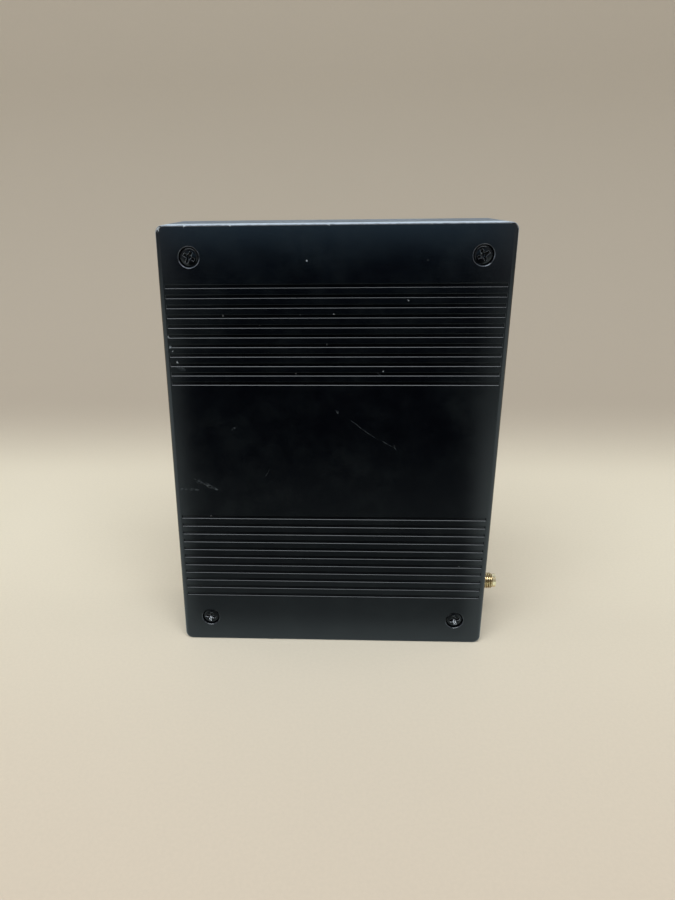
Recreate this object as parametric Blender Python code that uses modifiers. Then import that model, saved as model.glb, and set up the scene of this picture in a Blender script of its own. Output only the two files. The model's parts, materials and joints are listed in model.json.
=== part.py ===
"""Desktop cellular signal booster.

A grooved cast rear cover, held by four recessed screws, closes a moulded front housing.
Inside are the amplifier board with its shielded radio stages, the built-in indoor antenna
behind the front wall, the outdoor antenna jack and the power inlet.

Frame: metres, +Z up, the case stands on its short end. The origin is the middle of the
bottom end. The grooved rear cover faces -Y and the jacks come out of the +X side.
"""

import math

import bmesh
import bpy
from mathutils import Matrix, Vector

# Case
CASE_WIDTH = 0.1143
CASE_HEIGHT = 0.1543
CASE_DEPTH = 0.0381
COVER_DEPTH = 0.0100
COVER_WALL = 0.0024
HOUSING_WALL = 0.0025
CORNER_RADIUS = 0.0024
COVER_EDGE_RADIUS = 0.0012
HOUSING_EDGE_RADIUS = 0.0014
CAVITY_RADIUS = 0.0012
GAP = 0.0003

# Rubber ring in the seam
GASKET_WIDTH = 0.0008
GASKET_HEIGHT = 0.0013

# Cooling grooves of the rear cover
GROOVES_PER_GROUP = 11
GROOVE_PITCH = 0.00324
GROOVE_TOP_MARGIN = 0.0190
GROOVE_BOTTOM_MARGIN = 0.0202
GROOVE_WIDTH = 0.0011
GROOVE_DEPTH = 0.0006
GROOVE_END_MARGIN = 0.0022

# Cover screws, their bosses and their inserts
SCREW_INSET_X = 0.0104
SCREW_INSET_Z = 0.0098
SCREW_HEAD_RADIUS = 0.0029
SCREW_HEAD_HEIGHT = 0.0018
SCREW_HEAD_SUNK = 0.0005
SCREW_SHANK_RADIUS = 0.0015
SCREW_LENGTH = 0.0130
COUNTERBORE_RADIUS = 0.0034
COVER_BOSS_RADIUS = 0.0052
HOUSING_BOSS_RADIUS = 0.0046
INSERT_RADIUS = 0.0026
INSERT_LENGTH = 0.0057

# Main board
BOARD_THICKNESS = 0.0016
BOARD_EDGE_GAP = 0.0008
BOARD_REAR_Y = -0.0081
BOARD_NOTCH_X = 0.0135
BOARD_NOTCH_Z = 0.0150
POST_X = 0.0400
POST_Z = (0.0240, 0.1300)
POST_RADIUS = 0.0030
BOARD_SCREW_HEAD_RADIUS = 0.0024
BOARD_SCREW_HEAD_HEIGHT = 0.0013
BOARD_SCREW_SHANK_RADIUS = 0.0011
BOARD_SCREW_LENGTH = 0.0070

# Shielded radio stages on the rear side of the main board
CAN_SIZE = Vector((0.0400, 0.0026, 0.0280))
CAN_WALL = 0.0004
CAN_CENTRES_Z = {"uplink": 0.1180, "downlink": 0.0780}
PEDESTAL_SIZE = Vector((0.0340, 0.0035, 0.0220))
THERMAL_PAD_THICKNESS = 0.0009

# Outdoor antenna jack, on the +X side
JACK_Z = 0.0163
JACK_TIP = 0.0084
JACK_THREAD_RADIUS = 0.003175
JACK_NOSE_RADIUS = 0.00265
JACK_NOSE_LENGTH = 0.0013
JACK_BORE_RADIUS = 0.00235
JACK_FLANGE_RADIUS = 0.0044
JACK_FLANGE_THICKNESS = 0.0020
JACK_TAIL_RADIUS = 0.0026
JACK_TAIL_LENGTH = 0.0016
JACK_RECESS = 0.0019
JACK_CONTACT_RADIUS = 0.000635
JACK_SOCKET_DEPTH = 0.0020
NUT_ACROSS_FLATS = 0.0080
NUT_THICKNESS = 0.0020
WASHER_RADIUS = 0.0049
WASHER_THICKNESS = 0.0006

# Power inlet, on the +X side
INLET_Z = 0.0350
INLET_SIZE = Vector((0.0140, 0.0110, 0.0090))
INLET_BORE_RADIUS = 0.0032
INLET_BORE_DEPTH = 0.0100
INLET_PIN_RADIUS = 0.00105
INLET_WALL_HOLE_RADIUS = 0.0039

# Indoor antenna behind the front wall
ANTENNA_BOARD_SIZE = Vector((0.0700, 0.0010, 0.0900))
ANTENNA_BOARD_Y = 0.0050
ANTENNA_CENTRE_Z = 0.0950
PATCH_SIZE = Vector((0.0560, 0.0006, 0.0640))
PATCH_LIFT = 0.0060
STANDOFF_X = 0.0310
STANDOFF_Z = 0.0400
STANDOFF_RADIUS = 0.0024
PATCH_SPACER_RADIUS = 0.0040
FEED_X = -0.0140
FEED_HOLE_RADIUS = 0.0010
FEED_PIN_RADIUS = 0.0006
FEED_PIN_STUB = 0.0004

# Status lights
LIGHT_XS = (-0.008, 0.0, 0.008)
LIGHT_Z = 0.0330
LIGHT_ROD_RADIUS = 0.0012

# Internal leads and their plugs, as (x, z) on the main board
COAX_RADIUS = 0.00065
COAX_POINTS = 17
COAX_PLUG_RADIUS = 0.0016
COAX_PLUG_HEIGHT = 0.0016
ANTENNA_PLUG_PLACE = (-0.0300, 0.0400)
JACK_PLUG_PLACE = (0.0260, 0.0220)

# Chips of one radio stage: kind, x, z from the can's middle, size, finish
STAGE_CHIPS = (
    ("power_amplifier", -0.010, 0.004, Vector((0.0080, 0.0013, 0.0080)), "chip_black"),
    ("low_noise_amplifier", 0.006, 0.006, Vector((0.0040, 0.0009, 0.0040)), "chip_black"),
    ("band_filter", 0.006, -0.006, Vector((0.0060, 0.0014, 0.0050)), "shield_tin"),
)

# Ceramic duplexers, side by side below the cans
DUPLEXER_SIZE = Vector((0.0180, 0.0045, 0.0080))
DUPLEXER_HOLES = 6
DUPLEXER_X = 0.0150
DUPLEXER_Z = 0.0500

# Power section, in a column beside the inlet
POWER_COLUMN_X = 0.0465
CAPACITOR_RADIUS = 0.0040
CAPACITOR_HEIGHT = 0.0100
CAPACITOR_ZS = {"input": 0.0520, "output": 0.0630}
INDUCTOR_SIZE = Vector((0.0100, 0.0045, 0.0100))
INDUCTOR_Z = 0.0760
REGULATOR_SIZE = Vector((0.0100, 0.0044, 0.0090))
REGULATOR_TAB_SIZE = Vector((0.0090, 0.0013, 0.0040))
REGULATOR_Z = 0.0900
CONTROLLER_SIZE = Vector((0.0100, 0.0014, 0.0100))
CONTROLLER_X = -0.0200
CONTROLLER_Z = 0.0240
LED_SIZE = Vector((0.0016, 0.0008, 0.0008))

# Derived planes
HALF_WIDTH = CASE_WIDTH / 2
REAR_Y = -CASE_DEPTH / 2
FRONT_Y = CASE_DEPTH / 2
SEAM_Y = REAR_Y + COVER_DEPTH
HOUSING_RIM_Y = SEAM_Y + GAP
COVER_FLOOR_Y = REAR_Y + COVER_WALL
HOUSING_FLOOR_Y = FRONT_Y - HOUSING_WALL
BOARD_FRONT_Y = BOARD_REAR_Y + BOARD_THICKNESS
INNER_HALF_WIDTH = HALF_WIDTH - HOUSING_WALL
SCREW_X = HALF_WIDTH - SCREW_INSET_X
SCREW_ZS = (SCREW_INSET_Z, CASE_HEIGHT - SCREW_INSET_Z)

# Turns that lay a piece's own +Z along a frame axis
ALONG = {
    "+X": (0, math.pi / 2, 0),
    "+Y": (-math.pi / 2, 0, 0),
    "-Y": (math.pi / 2, 0, 0),
    "+Z": (0, 0, 0),
}
ROUND_STEPS = 24
SMALL_STEPS = 16
FINE_STEPS = 10
OVERSHOOT = 0.001
SHARP_ANGLE = math.radians(35)
MERGE = 0.00001

MATERIALS = {
    # name: (colour, roughness, metallic)
    "cover_black": ((0.012, 0.013, 0.015, 1), 0.42, 0.0),
    "housing_black": ((0.016, 0.016, 0.017, 1), 0.50, 0.0),
    "screw_black": ((0.020, 0.020, 0.022, 1), 0.38, 0.9),
    "insert_brass": ((0.72, 0.53, 0.24, 1), 0.35, 1.0),
    "gasket_rubber": ((0.025, 0.025, 0.025, 1), 0.85, 0.0),
    "board_green": ((0.010, 0.115, 0.045, 1), 0.35, 0.0),
    "shield_tin": ((0.62, 0.63, 0.64, 1), 0.30, 1.0),
    "pad_grey": ((0.28, 0.31, 0.36, 1), 0.90, 0.0),
    "chip_black": ((0.018, 0.018, 0.020, 1), 0.55, 0.0),
    "filter_ceramic": ((0.52, 0.44, 0.33, 1), 0.45, 0.0),
    "can_aluminium": ((0.70, 0.71, 0.73, 1), 0.32, 1.0),
    "led_white": ((0.80, 0.80, 0.72, 1), 0.30, 0.0),
    "guide_clear": ((0.78, 0.80, 0.82, 1), 0.12, 0.0),
    "patch_copper": ((0.72, 0.40, 0.26, 1), 0.30, 1.0),
    "nylon_white": ((0.80, 0.79, 0.75, 1), 0.55, 0.0),
    "coax_brown": ((0.16, 0.09, 0.05, 1), 0.50, 0.0),
    "gold_plate": ((0.83, 0.62, 0.27, 1), 0.22, 1.0),
    "inlet_black": ((0.020, 0.020, 0.021, 1), 0.50, 0.0),
    "contact_nickel": ((0.66, 0.65, 0.62, 1), 0.25, 1.0),
}


def clear_scene():
    for obj in list(bpy.data.objects):
        bpy.data.objects.remove(obj, do_unlink=True)


def new_collection(name):
    collection = bpy.data.collections.new(name)
    bpy.context.scene.collection.children.link(collection)
    return collection


clear_scene()
PARTS = new_collection("cellular_signal_booster")
CUTTERS = new_collection("cutters")
ROOT = bpy.data.objects.new("booster_origin", None)
PARTS.objects.link(ROOT)


def material(name):
    found = bpy.data.materials.get(name)
    if found:
        return found
    colour, roughness, metallic = MATERIALS[name]
    made = bpy.data.materials.new(name)
    made.use_nodes = True
    shader = made.node_tree.nodes["Principled BSDF"]
    shader.inputs["Base Color"].default_value = colour
    shader.inputs["Roughness"].default_value = roughness
    shader.inputs["Metallic"].default_value = metallic
    made.diffuse_color = colour
    return made


def new_object(name, bm, location=(0, 0, 0), along="+Z"):
    """An unlinked object from a bmesh, at a place, with its own +Z along a frame axis."""
    mesh = bpy.data.meshes.new(name)
    bm.to_mesh(mesh)
    bm.free()
    mesh.shade_smooth()
    mesh.set_sharp_from_angle(angle=SHARP_ANGLE)
    obj = bpy.data.objects.new(name, mesh)
    obj.location = location
    obj.rotation_euler = ALONG[along]
    return obj


def as_part(obj, material_name):
    """Puts a finished sub-part in the model, with its material."""
    PARTS.objects.link(obj)
    obj.parent = ROOT
    obj.data.materials.append(material(material_name))


def combine(target, tool, operation):
    """Cuts the tool out of the target, or joins it on. The tool stays as a hidden guide."""
    if tool.name not in CUTTERS.objects:
        CUTTERS.objects.link(tool)
    tool.hide_render = True
    tool.display_type = "WIRE"
    modifier = target.modifiers.new(tool.name, "BOOLEAN")
    modifier.operation = operation
    modifier.solver = "EXACT"
    modifier.object = tool


def cut(target, tool):
    combine(target, tool, "DIFFERENCE")


def join(target, tool):
    combine(target, tool, "UNION")


def block(name, low, high):
    """A box between two corners."""
    low = Vector(low)
    high = Vector(high)
    bm = bmesh.new()
    bmesh.ops.create_cube(bm, size=1)
    bmesh.ops.scale(bm, vec=high - low, verts=bm.verts)
    return new_object(name, bm, (low + high) / 2)


def block_at(name, centre, size):
    """A box from its middle and its size."""
    half = Vector(size) / 2
    return block(name, Vector(centre) - half, Vector(centre) + half)


def seated_block(name, x, z, size, side):
    """A box that stands on one side of the main board, a gap away from it."""
    if side == "rear":
        y = BOARD_REAR_Y - GAP - size.y / 2
    else:
        y = BOARD_FRONT_Y + GAP + size.y / 2
    return block_at(name, (x, y, z), size)


def chamfer(obj, width, segments=1):
    """Bevels every sharp edge of a piece."""
    modifier = obj.modifiers.new("edges", "BEVEL")
    modifier.width = width
    modifier.segments = segments
    modifier.limit_method = "ANGLE"


def rods(name, places, along, radius, length, steps=ROUND_STEPS):
    """One object of equal round rods, each starting at its place and running along an axis."""
    turn = Matrix.Identity(4)
    for angle, axis in zip(ALONG[along], "XYZ"):
        turn = Matrix.Rotation(angle, 4, axis) @ turn
    lift = Matrix.Translation((0, 0, length / 2))
    bm = bmesh.new()
    for place in places:
        bmesh.ops.create_cone(
            bm,
            cap_ends=True,
            segments=steps,
            radius1=radius,
            radius2=radius,
            depth=length,
            matrix=Matrix.Translation(place) @ turn @ lift,
        )
    return new_object(name, bm)


def turned(name, profile, location, along, steps=ROUND_STEPS, ring=False):
    """A turned piece: radius and height points, down the outer side, spun about its axis."""
    bm = bmesh.new()
    points = [bm.verts.new((radius, 0, height)) for radius, height in profile]
    for first, second in zip(points, points[1:]):
        bm.edges.new((first, second))
    if ring:
        bm.edges.new((points[-1], points[0]))
    obj = new_object(name, bm, location, along)
    modifier = obj.modifiers.new("turn", "SCREW")
    modifier.axis = "Z"
    modifier.angle = math.tau
    modifier.steps = steps
    modifier.render_steps = steps
    modifier.use_smooth_shade = True
    modifier.use_merge_vertices = True
    modifier.merge_threshold = MERGE
    return obj


def plain_pin(radius, length):
    """The profile of a plain round pin that stands on its origin."""
    return [(0, length), (radius, length), (radius, 0), (0, 0)]


def plain_ring(outer, inner, length):
    """The profile of a plain ring or tube that stands on its origin, for ring=True."""
    return [(outer, length), (outer, 0), (inner, 0), (inner, length)]


def edges_along_y(bm):
    return [e for e in bm.edges if abs(e.verts[0].co.y - e.verts[1].co.y) > MERGE]


def rounded_blank(name, low, high, corner, edge=0.0, edge_side=0):
    """A box with rounded corners along Y, and a rounded rim on its -Y or +Y side."""
    low = Vector(low)
    high = Vector(high)
    size = high - low
    bm = bmesh.new()
    bmesh.ops.create_cube(bm, size=1)
    bmesh.ops.scale(bm, vec=size, verts=bm.verts)
    bmesh.ops.bevel(
        bm, geom=edges_along_y(bm), offset=corner, segments=5, profile=0.5, affect="EDGES"
    )
    if edge:
        level = edge_side * size.y / 2
        rim = [e for e in bm.edges if all(abs(v.co.y - level) < MERGE for v in e.verts)]
        bmesh.ops.bevel(bm, geom=rim, offset=edge, segments=4, profile=0.5, affect="EDGES")
    return new_object(name, bm, (low + high) / 2)


def screw_places(y):
    """The four cover screw axes, with the name of each corner."""
    places = {}
    for z, level in zip(SCREW_ZS, ("bottom", "top")):
        places[f"{level}_left"] = Vector((-SCREW_X, y, z))
        places[f"{level}_right"] = Vector((SCREW_X, y, z))
    return places


def post_places(y):
    """The four board post axes, with the name of each corner."""
    places = {}
    for z, level in zip(POST_Z, ("lower", "upper")):
        places[f"{level}_left"] = Vector((-POST_X, y, z))
        places[f"{level}_right"] = Vector((POST_X, y, z))
    return places


def rear_cover():
    cover = rounded_blank(
        "rear_cover",
        (-HALF_WIDTH, REAR_Y, 0),
        (HALF_WIDTH, SEAM_Y, CASE_HEIGHT),
        CORNER_RADIUS,
        COVER_EDGE_RADIUS,
        -1,
    )
    inner_x = HALF_WIDTH - COVER_WALL
    cut(
        cover,
        rounded_blank(
            "cover_cavity",
            (-inner_x, COVER_FLOOR_Y, COVER_WALL),
            (inner_x, SEAM_Y + OVERSHOOT, CASE_HEIGHT - COVER_WALL),
            CAVITY_RADIUS,
        ),
    )
    # The rabbet that holds the seam gasket
    step = GASKET_WIDTH + 2 * GAP
    cut(
        cover,
        rounded_blank(
            "gasket_rabbet",
            (-inner_x - step, SEAM_Y - GASKET_HEIGHT - GAP, COVER_WALL - step),
            (inner_x + step, SEAM_Y + OVERSHOOT, CASE_HEIGHT - COVER_WALL + step),
            CAVITY_RADIUS,
        ),
    )
    boss_start = COVER_FLOOR_Y - OVERSHOOT
    join(
        cover,
        rods(
            "cover_bosses",
            screw_places(boss_start).values(),
            "+Y",
            COVER_BOSS_RADIUS,
            SEAM_Y - boss_start,
        ),
    )
    for stage, z in CAN_CENTRES_Z.items():
        size = PEDESTAL_SIZE + Vector((0, OVERSHOOT, 0))
        centre = (0, COVER_FLOOR_Y - OVERSHOOT + size.y / 2, z)
        join(cover, block_at(f"pedestal_{stage}", centre, size))
    places = screw_places(REAR_Y - OVERSHOOT).values()
    counterbore_depth = SCREW_HEAD_SUNK + SCREW_HEAD_HEIGHT + GAP + OVERSHOOT
    cut(cover, rods("counterbores", places, "+Y", COUNTERBORE_RADIUS, counterbore_depth))
    hole_radius = SCREW_SHANK_RADIUS + GAP
    hole_length = COVER_DEPTH + 2 * OVERSHOOT
    cut(cover, rods("cover_screw_holes", places, "+Y", hole_radius, hole_length))
    top_of_group = CASE_HEIGHT - GROOVE_TOP_MARGIN
    bottom_of_group = GROOVE_BOTTOM_MARGIN + (GROOVES_PER_GROUP - 1) * GROOVE_PITCH
    groove_size = (CASE_WIDTH - 2 * GROOVE_END_MARGIN, 2 * GROOVE_DEPTH, GROOVE_WIDTH)
    for group, z in (("upper", top_of_group), ("lower", bottom_of_group)):
        groove = block_at(f"grooves_{group}", (0, REAR_Y, z), groove_size)
        row = groove.modifiers.new("row", "ARRAY")
        row.count = GROOVES_PER_GROUP
        row.use_relative_offset = False
        row.use_constant_offset = True
        row.constant_offset_displace = (0, 0, -GROOVE_PITCH)
        cut(cover, groove)
    as_part(cover, "cover_black")


def front_housing():
    housing = rounded_blank(
        "front_housing",
        (-HALF_WIDTH, HOUSING_RIM_Y, 0),
        (HALF_WIDTH, FRONT_Y, CASE_HEIGHT),
        CORNER_RADIUS,
        HOUSING_EDGE_RADIUS,
        1,
    )
    cut(
        housing,
        rounded_blank(
            "housing_cavity",
            (-INNER_HALF_WIDTH, HOUSING_RIM_Y - OVERSHOOT, HOUSING_WALL),
            (INNER_HALF_WIDTH, HOUSING_FLOOR_Y, CASE_HEIGHT - HOUSING_WALL),
            CAVITY_RADIUS,
        ),
    )
    places = screw_places(HOUSING_RIM_Y).values()
    boss_length = HOUSING_FLOOR_Y + OVERSHOOT - HOUSING_RIM_Y
    join(housing, rods("housing_bosses", places, "+Y", HOUSING_BOSS_RADIUS, boss_length))
    post_top = BOARD_FRONT_Y + GAP
    posts = post_places(post_top).values()
    post_length = HOUSING_FLOOR_Y + OVERSHOOT - post_top
    join(housing, rods("board_posts", posts, "+Y", POST_RADIUS, post_length, SMALL_STEPS))
    above_rim = screw_places(HOUSING_RIM_Y - OVERSHOOT).values()
    pocket_depth = INSERT_LENGTH + 2 * GAP + OVERSHOOT
    cut(housing, rods("insert_pockets", above_rim, "+Y", INSERT_RADIUS + GAP, pocket_depth))
    pilot_depth = 2 * INSERT_LENGTH
    cut(housing, rods("screw_pilots", above_rim, "+Y", SCREW_SHANK_RADIUS + GAP, pilot_depth))
    above_posts = post_places(post_top - OVERSHOOT).values()
    post_hole = BOARD_SCREW_SHANK_RADIUS + GAP
    cut(
        housing,
        rods("post_pilots", above_posts, "+Y", post_hole, BOARD_SCREW_LENGTH, SMALL_STEPS),
    )
    wall_start = INNER_HALF_WIDTH - OVERSHOOT
    wall_through = HOUSING_WALL + 2 * OVERSHOOT
    jack_place = [Vector((wall_start, 0, JACK_Z))]
    jack_hole = JACK_THREAD_RADIUS + GAP
    cut(housing, rods("jack_hole", jack_place, "+X", jack_hole, wall_through))
    inlet_place = [Vector((wall_start, 0, INLET_Z))]
    cut(housing, rods("inlet_hole", inlet_place, "+X", INLET_WALL_HOLE_RADIUS, wall_through))
    lights = [Vector((x, HOUSING_FLOOR_Y - OVERSHOOT, LIGHT_Z)) for x in LIGHT_XS]
    light_hole = LIGHT_ROD_RADIUS + GAP
    cut(housing, rods("light_holes", lights, "+Y", light_hole, wall_through, SMALL_STEPS))
    as_part(housing, "housing_black")


def seam_gasket():
    """The conductive rubber ring that seals the seam from inside."""
    outer_x = HALF_WIDTH - COVER_WALL + GASKET_WIDTH + GAP
    outer_z = COVER_WALL - GASKET_WIDTH - GAP
    gasket = rounded_blank(
        "seam_gasket",
        (-outer_x, SEAM_Y - GASKET_HEIGHT, outer_z),
        (outer_x, SEAM_Y, CASE_HEIGHT - outer_z),
        CAVITY_RADIUS,
    )
    inset = Vector((GASKET_WIDTH, -OVERSHOOT, GASKET_WIDTH))
    cut(
        gasket,
        rounded_blank(
            "gasket_window",
            Vector((-outer_x, SEAM_Y - GASKET_HEIGHT, outer_z)) + inset,
            Vector((outer_x, SEAM_Y, CASE_HEIGHT - outer_z)) - inset,
            CAVITY_RADIUS / 2,
        ),
    )
    as_part(gasket, "gasket_rubber")


def cross_recess(name, span, slot, depth):
    """A cross prism about its own +Z, for a driver recess."""
    bm = bmesh.new()
    bmesh.ops.create_cube(bm, size=1)
    bmesh.ops.scale(bm, vec=(slot, slot, depth), verts=bm.verts)
    bm.faces.ensure_lookup_table()
    sides = [face for face in bm.faces if abs(face.normal.z) < 0.5]
    for arm in bmesh.ops.extrude_discrete_faces(bm, faces=sides)["faces"]:
        push = arm.normal * (span - slot) / 2
        bmesh.ops.translate(bm, vec=push, verts=arm.verts)
    return new_object(name, bm)


def cross_screw(name, head_top, head_radius, head_height, shank_radius, length, finish):
    """A round-headed screw driven towards +Y, with a cross recess in its head."""
    rim = head_height * 0.35
    profile = [
        (0, 0),
        (head_radius * 0.72, 0),
        (head_radius, -rim),
        (head_radius, -head_height),
        (shank_radius, -head_height),
        (shank_radius, -head_height - length + shank_radius),
        (shank_radius * 0.4, -head_height - length),
        (0, -head_height - length),
    ]
    screw = turned(name, profile, head_top, "-Y", SMALL_STEPS)
    depth = head_height * 0.55
    recess = cross_recess(f"{name}_recess", head_radius * 1.2, head_radius * 0.3, 2 * depth)
    recess.location = head_top
    recess.rotation_euler = ALONG["-Y"]
    cut(screw, recess)
    as_part(screw, finish)


def cover_fasteners():
    for corner, head_top in screw_places(REAR_Y + SCREW_HEAD_SUNK).items():
        cross_screw(
            f"cover_screw_{corner}",
            head_top,
            SCREW_HEAD_RADIUS,
            SCREW_HEAD_HEIGHT,
            SCREW_SHANK_RADIUS,
            SCREW_LENGTH,
            "screw_black",
        )
    tube = plain_ring(INSERT_RADIUS, SCREW_SHANK_RADIUS + GAP, INSERT_LENGTH)
    for corner, place in screw_places(HOUSING_RIM_Y + GAP / 2).items():
        insert = turned(f"thread_insert_{corner}", tube, place, "+Y", SMALL_STEPS, ring=True)
        as_part(insert, "insert_brass")


def main_board():
    edge_x = INNER_HALF_WIDTH - BOARD_EDGE_GAP
    bottom = HOUSING_WALL + BOARD_EDGE_GAP
    top = CASE_HEIGHT - bottom
    board = block("main_board", (-edge_x, BOARD_REAR_Y, bottom), (edge_x, BOARD_FRONT_Y, top))
    for side in (-1, 1):
        for level, z in (("bottom", bottom), ("top", top)):
            notch_size = (2 * BOARD_NOTCH_X, 4 * BOARD_THICKNESS, 2 * BOARD_NOTCH_Z)
            notch_name = f"board_notch_{level}_{side}"
            cut(board, block_at(notch_name, (side * edge_x, BOARD_REAR_Y, z), notch_size))
    starts = post_places(BOARD_REAR_Y - OVERSHOOT).values()
    hole_radius = BOARD_SCREW_SHANK_RADIUS + GAP
    through = BOARD_THICKNESS + 2 * OVERSHOOT
    cut(board, rods("board_holes", starts, "+Y", hole_radius, through, SMALL_STEPS))
    as_part(board, "board_green")
    head_y = BOARD_REAR_Y - GAP - BOARD_SCREW_HEAD_HEIGHT
    for corner, head_top in post_places(head_y).items():
        cross_screw(
            f"board_screw_{corner}",
            head_top,
            BOARD_SCREW_HEAD_RADIUS,
            BOARD_SCREW_HEAD_HEIGHT,
            BOARD_SCREW_SHANK_RADIUS,
            BOARD_SCREW_LENGTH,
            "contact_nickel",
        )


def open_tray(name, centre, size, wall, floor):
    """A thin tray open towards +Y: four walls, with a floor on its -Y side if floor isn't 0."""
    tray = block_at(name, centre, size)
    inside = Vector((size.x - 2 * wall, size.y, size.z - 2 * wall))
    if floor:
        middle = Vector(centre) + Vector((0, floor, 0))
    else:
        middle = Vector(centre)
        inside.y = size.y + 2 * OVERSHOOT
    cut(tray, block_at(f"{name}_inside", middle, inside))
    return tray


def shielded_stage(stage, z):
    """One radio stage: fence, lid, thermal pad, power amplifier, low-noise amplifier, filter."""
    fence_y = BOARD_REAR_Y - GAP - CAN_SIZE.y / 2
    fence = open_tray(f"shield_fence_{stage}", (0, fence_y, z), CAN_SIZE, CAN_WALL, 0)
    as_part(fence, "shield_tin")
    margin = 2 * (GAP + CAN_WALL)
    lid_size = CAN_SIZE + Vector((margin, -CAN_WALL, margin))
    lid_top = BOARD_REAR_Y - GAP - CAN_SIZE.y - GAP - CAN_WALL
    lid_centre = (0, lid_top + lid_size.y / 2, z)
    lid = open_tray(f"shield_lid_{stage}", lid_centre, lid_size, CAN_WALL, CAN_WALL)
    as_part(lid, "shield_tin")
    pad_size = Vector((PEDESTAL_SIZE.x, THERMAL_PAD_THICKNESS, PEDESTAL_SIZE.z))
    pad_centre = (0, lid_top - GAP - THERMAL_PAD_THICKNESS / 2, z)
    as_part(block_at(f"thermal_pad_{stage}", pad_centre, pad_size), "pad_grey")
    for kind, x, lift, size, finish in STAGE_CHIPS:
        chip = seated_block(f"{kind}_{stage}", x, z + lift, size, "rear")
        chamfer(chip, size.y * 0.15)
        as_part(chip, finish)


def duplexer(band, x):
    """A ceramic block filter with a row of resonator holes that run along Z."""
    size = DUPLEXER_SIZE
    spacing = size.x / DUPLEXER_HOLES
    body = seated_block(f"duplexer_{band}", x, DUPLEXER_Z, size, "rear")
    centre_y = BOARD_REAR_Y - GAP - size.y / 2
    start_z = DUPLEXER_Z - size.z / 2 - OVERSHOOT
    starts = []
    for index in range(DUPLEXER_HOLES):
        offset = (index - (DUPLEXER_HOLES - 1) / 2) * spacing
        starts.append(Vector((x + offset, centre_y, start_z)))
    length = size.z + 2 * OVERSHOOT
    cut(body, rods(f"resonators_{band}", starts, "+Z", spacing * 0.28, length, FINE_STEPS))
    as_part(body, "filter_ceramic")


def capacitor_can(name, z):
    """A standing can with a rounded top and a groove near its foot."""
    groove = CAPACITOR_RADIUS * 0.1
    profile = [
        (0, CAPACITOR_HEIGHT),
        (CAPACITOR_RADIUS - groove, CAPACITOR_HEIGHT),
        (CAPACITOR_RADIUS, CAPACITOR_HEIGHT - groove),
        (CAPACITOR_RADIUS, 4 * groove),
        (CAPACITOR_RADIUS - groove, 3 * groove),
        (CAPACITOR_RADIUS, 2 * groove),
        (CAPACITOR_RADIUS, 0),
        (0, 0),
    ]
    place = (POWER_COLUMN_X, BOARD_FRONT_Y + GAP, z)
    as_part(turned(name, profile, place, "+Y", SMALL_STEPS), "can_aluminium")


def power_section():
    """The parts on the front side of the board, along the inlet's side, and the controller."""
    for name, z in CAPACITOR_ZS.items():
        capacitor_can(f"{name}_capacitor", z)
    coil = seated_block("power_inductor", POWER_COLUMN_X, INDUCTOR_Z, INDUCTOR_SIZE, "front")
    chamfer(coil, INDUCTOR_SIZE.y * 0.18, 2)
    as_part(coil, "chip_black")
    regulator = seated_block(
        "voltage_regulator", POWER_COLUMN_X, REGULATOR_Z, REGULATOR_SIZE, "front"
    )
    # The tab starts inside the body and lies just above the body's foot
    tab_y = BOARD_FRONT_Y + 1.2 * GAP + REGULATOR_TAB_SIZE.y / 2
    tab_z = REGULATOR_Z + REGULATOR_SIZE.z / 2 + REGULATOR_TAB_SIZE.z * 0.2
    tab = block_at("regulator_tab", (POWER_COLUMN_X, tab_y, tab_z), REGULATOR_TAB_SIZE)
    join(regulator, tab)
    as_part(regulator, "chip_black")
    controller = seated_block(
        "controller_chip", CONTROLLER_X, CONTROLLER_Z, CONTROLLER_SIZE, "front"
    )
    chamfer(controller, CONTROLLER_SIZE.y * 0.2)
    as_part(controller, "chip_black")


def status_lights():
    """Three small lamps on the board, and the clear guide that takes their light to the front."""
    for index, x in enumerate(LIGHT_XS, start=1):
        as_part(seated_block(f"status_led_{index}", x, LIGHT_Z, LED_SIZE, "front"), "led_white")
    start_y = BOARD_FRONT_Y + 2 * GAP + LED_SIZE.y
    length = FRONT_Y - GAP - start_y
    places = [Vector((x, start_y, LIGHT_Z)) for x in LIGHT_XS]
    bar_y = (start_y + FRONT_Y) / 2
    bar_size = (LIGHT_XS[-1] - LIGHT_XS[0], LIGHT_ROD_RADIUS, LIGHT_ROD_RADIUS)
    guide = block_at("light_guide", (0, bar_y, LIGHT_Z), bar_size)
    join(guide, rods("guide_rods", places, "+Y", LIGHT_ROD_RADIUS, length, SMALL_STEPS))
    as_part(guide, "guide_clear")


def antenna_corners():
    """The four standoff axes, as (x, z), with the name of each corner."""
    corners = {}
    for level, z in (("lower", -STANDOFF_Z), ("upper", STANDOFF_Z)):
        corners[f"{level}_left"] = (-STANDOFF_X, ANTENNA_CENTRE_Z + z)
        corners[f"{level}_right"] = (STANDOFF_X, ANTENNA_CENTRE_Z + z)
    return corners


def antenna_standoffs(snap_radius):
    """Pillars between the two boards, each with a tip that snaps through the antenna board."""
    shoulder = ANTENNA_BOARD_Y - BOARD_FRONT_Y - 2 * GAP
    tip = shoulder + ANTENNA_BOARD_SIZE.y + 5 * GAP
    profile = [
        (0, tip),
        (snap_radius * 0.7, tip),
        (snap_radius, tip - 2 * GAP),
        (snap_radius, shoulder),
        (STANDOFF_RADIUS, shoulder),
        (STANDOFF_RADIUS, 0),
        (0, 0),
    ]
    for corner, (x, z) in antenna_corners().items():
        place = (x, BOARD_FRONT_Y + GAP, z)
        pillar = turned(f"antenna_standoff_{corner}", profile, place, "+Y", SMALL_STEPS)
        as_part(pillar, "nylon_white")


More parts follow.
